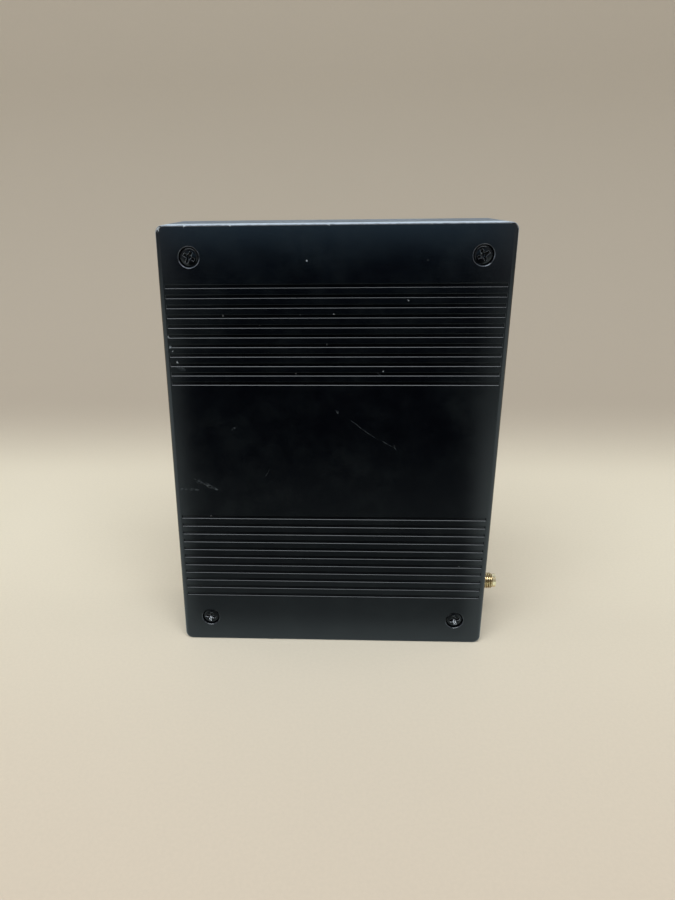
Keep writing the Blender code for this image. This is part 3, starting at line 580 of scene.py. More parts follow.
def new_look(name, base, roughness, metallic=0.0, **sockets):
    """A material with its Principled shader ready, and the tree to add to."""
    look = bpy.data.materials.new(name)
    look.use_nodes = True
    tree = look.node_tree
    shader = tree.nodes["Principled BSDF"]
    inputs = {"Base Color": (*base, 1), "Roughness": roughness, "Metallic": metallic}
    inputs.update({key.replace("_", " "): value for key, value in sockets.items()})
    give(tree, shader, inputs)
    look.diffuse_color = (*base, 1)
    return look, tree, shader


def bump(tree, shader, height, distance, strength):
    inputs = {"Height": height, "Distance": distance, "Strength": strength}
    give(tree, shader, {"Normal": make(tree, "ShaderNodeBump", inputs).outputs[0]})


def roughen(tree, shader, base, *parts):
    """Roughness: a base value, and a share of each mask on top."""
    for mask, share in parts:
        base = maths(tree, "MULTIPLY_ADD", mask, share, base)
    give(tree, shader, {"Roughness": base})


# Rubs on the rear cover: place (x, z), turn in degrees, half length, half width, streak width
COVER_RUBS = (
    (-0.0452, 0.0654, 25, 0.0068, 0.0011, 0.00030),
    (-0.0520, 0.0636, 2, 0.0052, 0.0007, 0.00026),
    (0.0100, 0.0868, 36, 0.0078, 0.00030, 0.00040),
    (0.0190, 0.0812, 28, 0.0034, 0.00024, 0.00030),
    (0.0216, 0.0797, 63, 0.0021, 0.00022, 0.00030),
    (-0.0234, 0.0700, -62, 0.0026, 0.00022, 0.00030),
    (0.0012, 0.0930, 55, 0.0012, 0.00050, 0.00022),
    (-0.0346, 0.0868, -30, 0.0012, 0.00050, 0.00022),
    (0.0150, 0.1062, 30, 0.0016, 0.00060, 0.00024),
    (-0.0516, 0.1080, 15, 0.0020, 0.00090, 0.00024),
)
# Small chips in the coat: place (x, z) and radius
COVER_CHIPS = (
    (-0.0089, 0.1431, 0.00026), (0.0294, 0.1431, 0.00020), (-0.0366, 0.1258, 0.00030),
    (-0.0112, 0.1260, 0.00022), (-0.0001, 0.1262, 0.00024), (-0.0246, 0.1226, 0.00022),
    (-0.0024, 0.1161, 0.00030), (-0.0128, 0.1062, 0.00022), (0.0165, 0.1072, 0.00020),
    (0.0238, 0.1305, 0.00022), (-0.0552, 0.1188, 0.00030), (-0.0549, 0.1155, 0.00034),
    (-0.0540, 0.1141, 0.00024), (-0.0527, 0.1103, 0.00032), (-0.0444, 0.0530, 0.00030),
    (-0.0560, 0.1534, 0.00080), (-0.0475, 0.1542, 0.00050), (-0.0330, 0.1542, 0.00030),
    (-0.0020, 0.1543, 0.00040), (0.0300, 0.1542, 0.00034), (0.0470, 0.0330, 0.00020),
)


def group_chips():
    """The cover's small chips in its coat, each a soft-edged ragged spot."""
    tree, given, result = new_group("chips", {"Softness": 0.4}, "Mask")
    place = parts_of(tree)
    rear_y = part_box("rear_cover")[0].y
    spots = [
        maths(tree, "DIVIDE", reach_from(tree, place["X"], place["Z"], (x, z)), radius * 1.25)
        for x, z, radius in COVER_CHIPS
    ]
    wobble = maths(tree, "SUBTRACT", noise(tree, 2600.0, 1.0), 0.45)
    ragged = maths(tree, "MULTIPLY_ADD", wobble, 3.0, gather(tree, "MINIMUM", spots))
    shape = ramp(tree, ragged, 1.0, maths(tree, "SUBTRACT", 1.0, given["Softness"]))
    rear = ramp(tree, place["Y"], rear_y + 0.0012, rear_y)
    tree.links.new(product(tree, shape, rear), result["Mask"])


def cover_marks(tree):
    """The rear cover's own wear: a broad rub at its left, a long thin scratch and small ones."""
    rear_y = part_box("rear_cover")[0].y
    masks = [
        use_group(
            tree, "scuff", Centre=(x, rear_y, z), Turn=math.radians(-turn),
            Half_length=half_length, Half_width=half_width, Streak=streak,
        )["Mask"]
        for x, z, turn, half_length, half_width, streak in COVER_RUBS
    ]
    return gather(tree, "MAXIMUM", masks)


def top_edge_highlight(tree):
    """A painted highlight along the cover's top edge, laid on as coat rubbed thin there."""
    low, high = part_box("rear_cover")
    place = parts_of(tree)
    edge = ramp(tree, place["Z"], high.z - 0.00028, high.z - 0.00008)
    near = ramp(tree, place["Y"], low.y + 0.0020, low.y + 0.0004)
    broken = ramp(tree, noise_along(tree, place["X"], 420.0, 4.0), 0.30, 0.66, 0.35, 0.85)
    return product(tree, edge, near, broken)


def lip_rub_and_highlight(tree):
    """Drivers have rubbed the lips of the counterbores; the rings are also a painted highlight,
    painted stronger on the upper two than on the lower.
    """
    radius = bpy.context.scene.booster_fastener.counterbore_radius + 0.00018
    rear_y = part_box("rear_cover")[0].y
    place = parts_of(tree)
    rings = []
    for corner in CORNERS:
        centre = middle(f"cover_screw_{corner}")
        reach = reach_from(tree, place["X"], place["Z"], (centre.x, centre.z))
        off = maths(tree, "ABSOLUTE", maths(tree, "SUBTRACT", reach, radius))
        # painted highlight: the upper rings are painted brighter, as they catch more light
        strength = 1.0 if corner.startswith("top") else 0.35
        rings.append(ramp(tree, off, 0.00020, 0.00004, 0.0, strength))
    broken = ramp(tree, noise(tree, 620.0, 3.0), 0.36, 0.62, 0.15, 1.0)
    near = ramp(tree, place["Y"], rear_y + 0.0006, rear_y + 0.0003)
    return product(tree, gather(tree, "MAXIMUM", rings), broken, near)


def recess_shade(tree):
    """Painted shade below the rear face, in the grooves and counterbores, thinner to the sides:
    there the near-black coat turns metallic and so reflects almost nothing.
    """
    low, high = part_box("rear_cover")
    place = parts_of(tree)
    deep = ramp(tree, place["Y"], low.y + 0.00008, low.y + 0.00018)
    across = maths(tree, "ABSOLUTE", place["X"])
    thin = ramp(tree, across, 0.025, 0.050, 0.50, 0.15)
    sides = maths(tree, "LESS_THAN", across, high.x - 0.0019)
    up = maths(tree, "ABSOLUTE", maths(tree, "SUBTRACT", place["Z"], (low.z + high.z) / 2))
    ends = maths(tree, "LESS_THAN", up, (high.z - low.z) / 2 - 0.003)
    return product(tree, deep, thin, sides, ends)


def look_cover(base):
    look, tree, shader = new_look("satin black coat", base, 0.2)
    clouds = use_group(tree, "clouds", Size=0.022, Sharpness=0.20)["Mask"]
    smears = use_group(tree, "clouds", Size=0.0065, Sharpness=0.16)["Mask"]
    grain = use_group(tree, "grain", Size=0.00032, Softness=0.55)
    wear = use_group(tree, "edge wear", Radius=0.00016, Amount=0.26, Patch=0.0011)["Mask"]
    specks = use_group(tree, "specks", Spacing=0.0042, Size=0.05, Share=0.16)["Mask"]
    chips = use_group(tree, "chips", Softness=0.6)["Mask"]
    marks = cover_marks(tree)
    tone = layers(
        tree, base,
        (clouds, 0.5, (0.0018, 0.0026, 0.0034)),
        (product(tree, smears, clouds), 0.75, (0.0048, 0.0060, 0.0068)),
        (specks, 0.35, (0.10, 0.12, 0.13)),
        (marks, 0.40, (0.15, 0.17, 0.18)),
        # painted highlight: a pale blue-grey line along the top edge
        (top_edge_highlight(tree), 1.0, (0.40, 0.44, 0.50)),
        # rubbed lips of the counterbores, partly a painted highlight
        (lip_rub_and_highlight(tree), 1.0, (0.11, 0.12, 0.14)),
        (chips, 0.8, (0.42, 0.45, 0.47)),
        (wear, 0.8, (0.50, 0.53, 0.56)),
    )
    # edge wear turns metallic, and the recesses too: painted shade that takes their reflections
    # away
    metal = maths(tree, "MAXIMUM", product(tree, wear, 0.6), recess_shade(tree))
    give(tree, shader, {"Base Color": tone, "Metallic": metal})
    roughen(tree, shader, 0.085, (clouds, 0.04), (grain["Shade"], 0.03), (marks, 0.20))
    bump(tree, shader, grain["Height"], 0.000006, 0.6)
    return look


def look_housing(base):
    look, tree, shader = new_look("moulded black", base, 0.42)
    clouds = use_group(tree, "clouds", Size=0.035, Sharpness=0.25)["Mask"]
    grain = use_group(tree, "grain", Size=0.00042, Softness=0.5)
    wear = use_group(tree, "edge wear", Radius=0.0004, Amount=0.25, Patch=0.0022)["Mask"]
    specks = use_group(tree, "specks", Spacing=0.0042, Size=0.05, Share=0.22)["Mask"]
    tone = layers(
        tree, base,
        (clouds, 0.4, (0.0085, 0.0088, 0.0095)),
        (specks, 0.5, (0.15, 0.15, 0.15)),
        (wear, 0.5, (0.09, 0.09, 0.095)),
    )
    give(tree, shader, {"Base Color": tone})
    roughen(tree, shader, 0.33, (clouds, 0.08), (grain["Shade"], 0.08))
    bump(tree, shader, grain["Height"], 0.000012, 0.7)
    return look


def look_screw():
    base = (0.0008, 0.0009, 0.0014)
    look, tree, shader = new_look("black oxide", base, 0.18, Specular_IOR_Level=0.28)
    # edge wear, and also a painted highlight: pale glints on the edges of the cross recess and the
    # rim
    wear = use_group(tree, "edge wear", Radius=0.00012, Amount=0.95, Patch=0.0005)["Mask"]
    grain = use_group(tree, "grain", Size=0.00016, Softness=0.6)
    tone = blend_colour(tree, wear, base, (0.50, 0.51, 0.53))
    give(tree, shader, {"Base Color": tone, "Metallic": product(tree, wear, 0.8)})
    roughen(tree, shader, 0.12, (grain["Shade"], 0.10))
    bump(tree, shader, grain["Height"], 0.000006, 0.6)
    return look


def thread_root_shade(tree):
    """The roots of the antenna jack's outer thread, painted darker as shade."""
    start, total = round_box("sma_jack_body")[:2]
    jack = bpy.context.scene.booster_jack
    place = parts_of(tree)
    reach = reach_from(tree, place["Y"], place["Z"], (start.y, start.z))
    low = ramp(tree, reach, JACK_CREST - 0.00004, JACK_CREST - jack.thread_depth * 0.9)
    end = start.x + total - jack.nose_length
    along = ramp(tree, place["X"], end - 0.00005, end - 0.00015)
    outside = maths(tree, "GREATER_THAN", reach, JACK_CREST - jack.thread_depth * 1.2)
    return product(tree, low, along, outside)


def look_metal(name, base, shadow, roughness, grain_size=0.0003, marks=False):
    """Plated or bare metal with slight tarnish, fine grain and bright rubbed edges; on the jack,
    painted shade in its thread's roots.
    """
    look, tree, shader = new_look(name, base, roughness, 1.0)
    clouds = use_group(tree, "clouds", Size=grain_size * 12, Sharpness=0.3)["Mask"]
    wear = use_group(tree, "edge wear", Radius=0.00015, Amount=0.6, Patch=grain_size * 3)["Mask"]
    coats = [(clouds, 0.5, shadow)]
    if marks:
        grain = use_group(tree, "turning marks", Pitch=grain_size)
        # painted shade in the thread's roots
        coats.append((thread_root_shade(tree), 1.0, [0.45 * channel for channel in shadow]))
    else:
        grain = use_group(tree, "grain", Size=grain_size, Softness=0.6)
    coats.append((wear, 1.0, [min(1.0, channel * 1.12) for channel in base]))
    give(tree, shader, {"Base Color": layers(tree, base, *coats)})
    roughen(tree, shader, roughness, (grain["Shade"], 0.12))
    bump(tree, shader, grain["Height"], 0.000006, 0.6)
    return look


def look_plastic(name, base, roughness, grain_size=0.0002, **sockets):
    """Plain plastic, rubber or ceramic with fine grain and slight unevenness of tone."""
    look, tree, shader = new_look(name, base, roughness, **sockets)
    grain = use_group(tree, "grain", Size=grain_size, Softness=0.55)
    clouds = use_group(tree, "clouds", Size=grain_size * 25, Sharpness=0.3)["Mask"]
    uneven = maths(tree, "MULTIPLY_ADD", grain["Shade"], 0.25, product(tree, clouds, 0.5))
    tone = blend_colour(tree, uneven, base, [channel * 0.72 for channel in base])
    give(tree, shader, {"Base Color": tone})
    roughen(tree, shader, roughness, (grain["Shade"], 0.14))
    bump(tree, shader, grain["Height"], grain_size * 0.06, 0.8)
    return look


def look_board():
    """Green solder mask over straight copper tracks in square fields, with plated vias."""
    look, tree, shader = new_look("solder mask", (0.01, 0.10, 0.04), 0.3)
    place = parts_of(tree)
    flat = vector_of(tree, place["X"], place["Z"])

    def cells(scale, **properties):
        """Square cells over the board, and the random colour of each."""
        inputs = {"Vector": flat, "Scale": scale, "Randomness": 0.0}
        made = make(tree, "ShaderNodeTexVoronoi", inputs, voronoi_dimensions="2D", **properties)
        chance = make(tree, "ShaderNodeSeparateColor", {"Color": made.outputs["Color"]})
        return made.outputs["Distance"], chance.outputs

    lines = []
    for way in (flat, vector_of(tree, place["Z"], place["X"])):
        inputs = {"Vector": way, "Scale": 300.0, "Mortar Size": 0.035, "Brick Width": 2.4}
        lines.append(make(tree, "ShaderNodeTexBrick", inputs).outputs["Fac"])
    field = cells(110.0, distance="CHEBYCHEV")[1]
    across = maths(tree, "LESS_THAN", field["Blue"], 0.5)
    swap = make(tree, "ShaderNodeMix", {0: across, 2: lines[0], 3: lines[1]}, data_type="FLOAT")
    tracks = product(tree, swap.outputs[0], maths(tree, "LESS_THAN", field["Green"], 0.6))
    distance, chance = cells(420.0)
    hole = maths(tree, "LESS_THAN", distance, 0.15)
    via = product(tree, hole, maths(tree, "LESS_THAN", chance["Red"], 0.10))
    masked = blend_colour(tree, tracks, (0.008, 0.085, 0.032), (0.016, 0.140, 0.056))
    tone = blend_colour(tree, via, masked, (0.62, 0.46, 0.2))
    give(tree, shader, {"Base Color": tone, "Metallic": via})
    grain = use_group(tree, "grain", Size=0.0006, Softness=0.5)
    roughen(tree, shader, 0.24, (grain["Shade"], 0.12))
    bump(tree, shader, maths(tree, "ADD", tracks, via), 0.00003, 0.6)
    return look


def make_looks():
    """All finishes, by the record's slot."""
    for build in (
        group_grain, group_clouds, group_edge_wear, group_specks, group_scuff,
        group_turning_marks, group_chips,
    ):
        build()
    scene = bpy.context.scene
    gold = scene.booster_jack.gold
    return {
        "cover_black": look_cover(scene.booster_case.cover_black),
        "housing_black": look_housing(scene.booster_case.housing_black),
        "screw_black": look_screw(),
        "gold_plate": look_metal(
            "gold plate", gold, (0.55, 0.34, 0.11), 0.16, grain_size=0.00009, marks=True
        ),
        "insert_brass": look_metal("turned brass", (0.74, 0.55, 0.25), (0.4, 0.27, 0.1), 0.26),
        "shield_tin": look_metal("tin plate", (0.60, 0.61, 0.62), (0.42, 0.43, 0.44), 0.24),
        "can_aluminium": look_metal("drawn aluminium", (0.70, 0.71, 0.73), (0.5, 0.5, 0.52), 0.26),
        "contact_nickel": look_metal("nickel plate", (0.68, 0.66, 0.62), (0.5, 0.48, 0.45), 0.18),
        "patch_copper": look_metal("rolled copper", (0.78, 0.42, 0.27), (0.42, 0.2, 0.12), 0.26),
        "gasket_rubber": look_plastic("black rubber", (0.022, 0.022, 0.022), 0.72),
        "board_green": look_board(),
        "pad_grey": look_plastic("soft pad", (0.28, 0.31, 0.36), 0.8, 0.0004),
        "chip_black": look_plastic("moulded epoxy", (0.02, 0.02, 0.022), 0.5, 0.00012),
        "filter_ceramic": look_plastic("fired ceramic", (0.52, 0.44, 0.33), 0.42, 0.00025),
        "led_white": look_plastic(
            "lamp lens", (0.82, 0.82, 0.74), 0.25, 0.0002, Transmission_Weight=0.25
        ),
        "guide_clear": look_plastic(
            "clear guide", (0.80, 0.83, 0.85), 0.12, 0.0002, Transmission_Weight=0.85, IOR=1.49
        ),
        "nylon_white": look_plastic(
            "natural nylon", (0.82, 0.80, 0.74), 0.45, 0.0003, Subsurface_Weight=0.15
        ),
        "coax_brown": look_plastic("lead jacket", (0.18, 0.1, 0.055), 0.42, 0.00025),
        "inlet_black": look_plastic("inlet moulding", (0.018, 0.018, 0.019), 0.42, 0.00018),
    }


LOOKS = {}


# ---------------------------------------------------------------- operators


class BOOSTER_OT_stage(Operator):
    """Camera, pale floor with its curved backdrop, and soft studio light"""

    bl_idname = "booster.stage"
    bl_label = "Stage"

    def execute(self, context):
        settings = context.scene.booster_stage
        self.add_camera(context, settings)
        self.add_floor(settings)
        self.add_lights(settings)
        self.add_surroundings(context)
        context.scene.view_settings.view_transform = "Standard"
        return {"FINISHED"}

    def add_camera(self, context, settings):
        left, down, roll = settings.camera_turn
        turn = Matrix.Rotation(left, 4, "Z")
        turn = turn @ Matrix.Rotation(math.pi / 2 - down, 4, "X") @ Matrix.Rotation(roll, 4, "Z")
        bpy.ops.object.select_all(action="DESELECT")
        place = settings.camera_place
        bpy.ops.object.camera_add(location=place, rotation=turn.to_euler())
        camera = context.active_object
        camera.name = "studio_camera"
        camera.data.sensor_width = 36
        camera.data.lens = settings.camera_lens
        camera.data.shift_x = settings.camera_shift
        camera.data.clip_start = 0.01
        context.scene.camera = camera

    def add_floor(self, settings):
        """One sheet: flat under the booster, then curved up into a wall behind it."""
        sheet = start_piece(
            "pale_floor", bpy.ops.mesh.primitive_plane_add, size=1.5, location=(0, -0.57, 0)
        )
        start = max(vertex.co.y for vertex in sheet.data.vertices)
        radius = 0.26
        edit(sheet)
        bpy.ops.mesh.select_all(action="SELECT")
        bpy.ops.transform.resize(value=(4, 1, 1), center_override=(0, 0, 0))
        pick(sheet, "EDGE", lambda edge: all(v.co.y > start - TINY for v in edge.verts))
        bpy.ops.mesh.spin(
            steps=24, angle=math.pi / 2, center=(0, start, radius), axis=(-1, 0, 0)
        )
        push((0, 0, 3))
        leave_edit()
        crest = sheet.data.vertices[-1].co
        if crest.z < radius or crest.y < start:
            raise RuntimeError("the backdrop doesn't rise behind the booster")
        make_active(sheet)
        bpy.ops.object.shade_smooth()
        sheet.data.materials.append(self.floor_look(settings))

    def floor_look(self, settings):
        look, tree, shader = new_look("pale paper", settings.floor_colour, 0.85)
        grain = use_group(tree, "grain", Size=0.0012, Softness=0.7)
        clouds = use_group(tree, "clouds", Size=0.25, Sharpness=0.35)["Mask"]
        uneven = maths(tree, "MULTIPLY_ADD", grain["Shade"], 0.05, product(tree, clouds, 0.05))
        place = parts_of(tree)
        path = make(tree, "ShaderNodeLightPath").outputs
        mirrored = path["Is Glossy Ray"]
        tone = layers(
            tree, settings.floor_colour,
            # painted pool of light round the booster, and painted shade up the backdrop
            (ramp(tree, place["Y"], -0.20, 0.10), 1.0, settings.lit_middle_colour),
            (ramp(tree, place["Y"], 0.14, 0.27), 1.0, settings.shaded_backdrop_colour),
            (uneven, 1.0, (0.30, 0.26, 0.20)),
            # painted reflection: mirror-like surfaces see the floor in front paler and cooler, and
            # the high backdrop bluish
            (ramp(tree, place["Y"], 0.0, -0.02), mirrored, (0.80, 0.89, 0.86)),
            (ramp(tree, place["Z"], 0.08, 0.14), mirrored, (0.80, 0.90, 1.0)),
        )
        give(tree, shader, {"Base Color": tone})
        bump(tree, shader, grain["Height"], 0.00004, 0.5)
        # painted shade in reflections: a near-black floor that mirror-like surfaces see in front of
        # the booster
        dark = make(tree, "ShaderNodeBsdfDiffuse", {"Color": (0.0002, 0.0002, 0.0003, 1)})
        reflected_shade = product(tree, self.reflected_floor_shade(tree, place, settings), mirrored)
        surface = mix_shaders(tree, reflected_shade, shader, dark)
        # Far to the sides and behind the camera, the sheet melts into the room
        wide = ramp(tree, maths(tree, "ABSOLUTE", place["X"]), 0.60, 1.50)
        back = ramp(tree, place["Y"], -0.60, -1.15)
        melted = product(tree, maths(tree, "MAXIMUM", wide, back), path["Is Camera Ray"])
        room = make(tree, "ShaderNodeEmission", {"Color": ROOM_TONE})
        surface = mix_shaders(tree, melted, surface, room)
        # The backdrop is seen from its front only, so it never stands between camera and object
        behind = make(tree, "ShaderNodeNewGeometry").outputs["Backfacing"]
        surface = mix_shaders(tree, behind, surface, make(tree, "ShaderNodeBsdfTransparent"))
        tree.links.new(surface.outputs[0], tree.nodes["Material Output"].inputs["Surface"])
        return look

    def reflected_floor_shade(self, tree, place, settings):
        """Painted shade seen only in mirror-like surfaces: how far the floor turns dark there, in
        front of the booster, not beside.
        """
        fade = product(tree, ramp(tree, place["Y"], -0.05, -0.27), 0.15)
        for start, end, share in ((-0.025, -0.085, 0.25), (-0.014, -0.040, 0.60)):
            part = ramp(tree, place["Y"], start, end)
            fade = maths(tree, "MULTIPLY_ADD", part, share, fade)
        # The grooved face shows the floor as from the camera's mirror image behind it
        camera_x, camera_y = settings.camera_place[:2]
        image_y = 2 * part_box("rear_cover")[0].y - camera_y
        side = maths(
            tree, "DIVIDE", maths(tree, "SUBTRACT", place["X"], camera_x),
            maths(tree, "SUBTRACT", image_y, place["Y"]),
        )
        side = maths(tree, "ABSOLUTE", maths(tree, "SUBTRACT", side, 0.006))
        close = ramp(tree, place["Y"], -0.10, -0.42, 1.0, 0.5)
        beside = product(tree, ramp(tree, side, 0.210, 0.262), close)
        beside = maths(tree, "MAXIMUM", beside, ramp(tree, side, 0.262, 0.330))
        return product(tree, fade, maths(tree, "SUBTRACT", 1.0, beside))

    def add_lights(self, settings):
        cool = (0.88, 0.95, 1.0)
        warm = (1.0, 0.97, 0.93)
        # Each light's name, place, aim, size, power and colour
        for name, place, aim, size, power, tint in (
            ("overhead", (-0.05, -0.55, 1.0), (0, 0, 0), (1.2, 0.6), settings.overhead_power, cool),
            ("left_fill", (-0.95, 0.10, 0.55), (0, 0, 0.05), (0.6, 0.6), settings.fill_power, warm),
            ("right_fill", (0.95, 0.15, 0.50), (0, 0, 0.05), (0.6, 0.6), settings.fill_power, warm),
        ):
            bpy.ops.object.select_all(action="DESELECT")
            turn = (Vector(aim) - Vector(place)).to_track_quat("-Z", "Y").to_euler()
            bpy.ops.object.light_add(type="AREA", location=place, rotation=turn)
            light = bpy.context.active_object
            light.name = name
            light.data.shape = "RECTANGLE"
            light.data.size, light.data.size_y = size
            light.data.energy = power
            light.data.color = tint

    def add_surroundings(self, context):
        """A pale room, dark straight ahead of the grooved face, with a cool glow at its horizon."""
        world = bpy.data.worlds.new("studio")
        world.use_nodes = True
        context.scene.world = world
        tree = world.node_tree
        way = parts_of(tree, make(tree, "ShaderNodeTexCoord").outputs["Generated"])
        path = make(tree, "ShaderNodeLightPath").outputs
        ahead = ramp(tree, way["Y"], -0.15, -0.75)
        upward = ramp(tree, way["Z"], 0.25, 0.9)
        low, high = (ramp(tree, way["Z"], *ends) for ends in ((-0.072, -0.032), (0.13, 0.0)))
        forward = maths(tree, "MAXIMUM", product(tree, way["Y"], -1.0), 0.01)
        side = maths(tree, "DIVIDE", way["X"], forward)
        side = maths(tree, "ABSOLUTE", maths(tree, "SUBTRACT", side, 0.007))
        beside = product(tree, ramp(tree, side, 0.208, 0.27), ahead, path["Is Glossy Ray"])
        dark = blend_colour(tree, upward, (0.002, 0.003, 0.004), (0.40, 0.43, 0.47))
        tone = layers(
            tree, (0.30, 0.29, 0.28),
            (upward, 1.0, (0.50, 0.53, 0.57)),
            (ahead, 1.0, dark),
            (product(tree, low, high), ahead, (0.40, 0.66, 0.92)),
            (beside, 1.0, (0.42, 0.46, 0.50)),
            (path["Is Camera Ray"], 1.0, ROOM_TONE),
        )
        tree.links.new(tone, tree.nodes["Background"].inputs["Color"])


def rounded_tray(name, node, rim_y, side_round, end_round):
    """A block on a CAD node's box, with round corners, and a rim rounded more at the sides."""
    case = bpy.context.scene.booster_case
    tray = start_block(name, *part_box(node))
    round_edges(tray, runs_deep, case.corner_radius, 8)
    mesh = tray.data
    weights = mesh.attributes.new("bevel_weight_edge", "FLOAT", "EDGE")
    for edge in mesh.edges:
        first, second = (mesh.vertices[index].co for index in edge.vertices)
        if abs(first.y - rim_y) < TINY and abs(second.y - rim_y) < TINY:
            run = second - first
            upright = abs(run.z) / run.length
            width = end_round + (side_round - end_round) * upright
            weights.data[edge.index].value = width / side_round
    modifier = tray.modifiers.new("rim", "BEVEL")
    modifier.limit_method = "WEIGHT"
    modifier.width = side_round
    modifier.segments = 6
    apply_modifier(tray, modifier)
    return tray


def hollow_out(tray, node, wall, radius, start_y, end_y):
    """Cuts a pocket with round corners into a tray, one wall thickness inside its outline."""
    low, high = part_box(node)
    pocket = start_block(
        "pocket", (low.x + wall, start_y, low.z + wall), (high.x - wall, end_y, high.z - wall)
    )
    round_edges(pocket, runs_deep, radius, 4)
    combine(tray, pocket, "DIFFERENCE")


def cut_slot(piece, node, depth, width, turn=0.0):
    """Cuts a slot across the +X end of a round piece, turned about its axis."""
    place, run, radius = round_box(node)
    half_length = radius * 1.2
    tool = start_block(
        "slot", (run - depth, -half_length, -width / 2), (run + 0.001, half_length, width / 2)
    )
    move_mesh(tool, Matrix.Translation(place) @ Matrix.Rotation(turn, 4, "X"))
    combine(piece, tool, "DIFFERENCE")


class BOOSTER_OT_rear_cover(Operator):
    """The cast rear cover, with its cooling grooves, counterbores, bosses and pedestals"""

    bl_idname = "booster.rear_cover"
    bl_label = "Rear cover"

    def execute(self, context):
        case = context.scene.booster_case
        low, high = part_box("rear_cover")
        wall = case.cover_wall
        rebate = 0.0010
        rebate_depth = 0.0016
        past = high.y + 0.001
        cover = rounded_tray(
            "rear_cover_casting", "rear_cover", low.y, case.side_round, case.end_round
        )
        hollow_out(cover, "rear_cover", wall, 0.0012, low.y + wall, past)
        hollow_out(cover, "rear_cover", rebate, 0.0010, high.y - rebate_depth, past)
        self.add_inside(cover, low, high, case)
        self.cut_screw_holes(cover, low)
        self.cut_grooves(cover, low, high, case)
        finish_piece(cover, "cover_black", "rear_cover", angle=28)
        return {"FINISHED"}

    def add_inside(self, cover, low, high, case):
        """Bosses for the screws, and pedestals that reach for the shield lids."""
        floor_y = low.y + case.cover_wall
        for corner in CORNERS:
            centre = middle(f"cover_screw_{corner}")
            height = high.y - floor_y
            join_round(cover, (centre.x, floor_y, centre.z), "+Y", (
                (-0.001, 0.0062), (0, 0.0062), (0.0008, 0.0054), (height - 0.0004, 0.0052),
                (height, 0.0048),
            ))
        for stage in ("uplink", "downlink"):
            pad_low, pad_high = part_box(f"thermal_pad_{stage}")
            top_y = pad_low.y - 0.00025
            pedestal = start_block(
                "pedestal", (pad_low.x, floor_y - 0.001, pad_low.z),
                (pad_high.x, top_y, pad_high.z),
            )
            round_edges(
                pedestal, lambda edge: any(v.co.y > top_y - TINY for v in edge.verts), 0.0006, 3
            )
            combine(cover, pedestal, "UNION")

    def cut_screw_holes(self, cover, low):
        """Counterbores with a broken lip, and the clearance holes below them."""
        radius = bpy.context.scene.booster_fastener.counterbore_radius
        gap = 0.0003
        for corner in CORNERS:
            centre = middle(f"cover_screw_{corner}")
            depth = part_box(f"cover_screw_{corner}")[0].y - low.y + HEAD_DEPTH + gap
            cut_round(cover, (centre.x, low.y, centre.z), "+Y", (
                (-0.0001, radius + 0.00042), (0.0, radius + 0.00030), (0.00012, radius + 0.00015),
                (0.00026, radius + 0.00004), (0.00042, radius), (depth, radius),
                (depth, SCREW_HOLE), (0.02, SCREW_HOLE),
            ))

    def cut_grooves(self, cover, low, high, case):
        """Two groups of shallow grooves, each with sloped walls and softened lips."""
        half_length = (high.x - low.x) / 2 - case.groove_end
        half_width = case.groove_width / 2
        depth = case.groove_depth
        # Levels below the surface, and how far each stands inside the groove's nominal half width
        levels = (
            (depth, half_width * 0.16), (depth * 0.55, half_width * 0.09),
            (depth * 0.20, half_width * 0.03), (depth * 0.06, -half_width * 0.10),
            (-depth * 0.08, -half_width * 0.305),
        )
        tool = start_block(
            "groove", (-half_length, 0, -half_width), (half_length, depth, half_width)
        )
        edit(tool)
        pick(tool, "VERT", lambda vertex: vertex.co.y > depth - TINY)
        self.shrink(half_length, half_width, 0.0, levels[0][1])
        pick(tool, "FACE", lambda face: face.normal.y < -0.9)
        bpy.ops.transform.translate(value=(0, levels[1][0], 0))
        self.shrink(half_length, half_width, 0.0, levels[1][1])
        for last, (level, inset) in zip(levels[1:], levels[2:]):
            push((0, level - last[0], 0))
            self.shrink(half_length, half_width, last[1], inset)
        leave_edit()
        row = tool.modifiers.new("row", "ARRAY")
        row.count = case.groove_count
        row.use_relative_offset = False
        row.use_constant_offset = True
        row.constant_offset_displace = (0, 0, -case.groove_pitch)
        apply_modifier(tool, row)
        run = (case.groove_count - 1) * case.groove_pitch
        lower = copy_of(tool, "lower_grooves")
        move_mesh(tool, Matrix.Translation((0, low.y, high.z - case.groove_top)))
        move_mesh(lower, Matrix.Translation((0, low.y, low.z + case.groove_bottom + run)))
        combine(cover, tool, "DIFFERENCE")
        combine(cover, lower, "DIFFERENCE")

    def shrink(self, half_length, half_width, last, inset):
        """Scales the selection from one inset to the next, about the groove's middle."""
        bpy.ops.transform.resize(
            value=(
                (half_length - inset) / (half_length - last), 1,
                (half_width - inset) / (half_width - last),
            ),
            center_override=(0, 0, 0),
        )


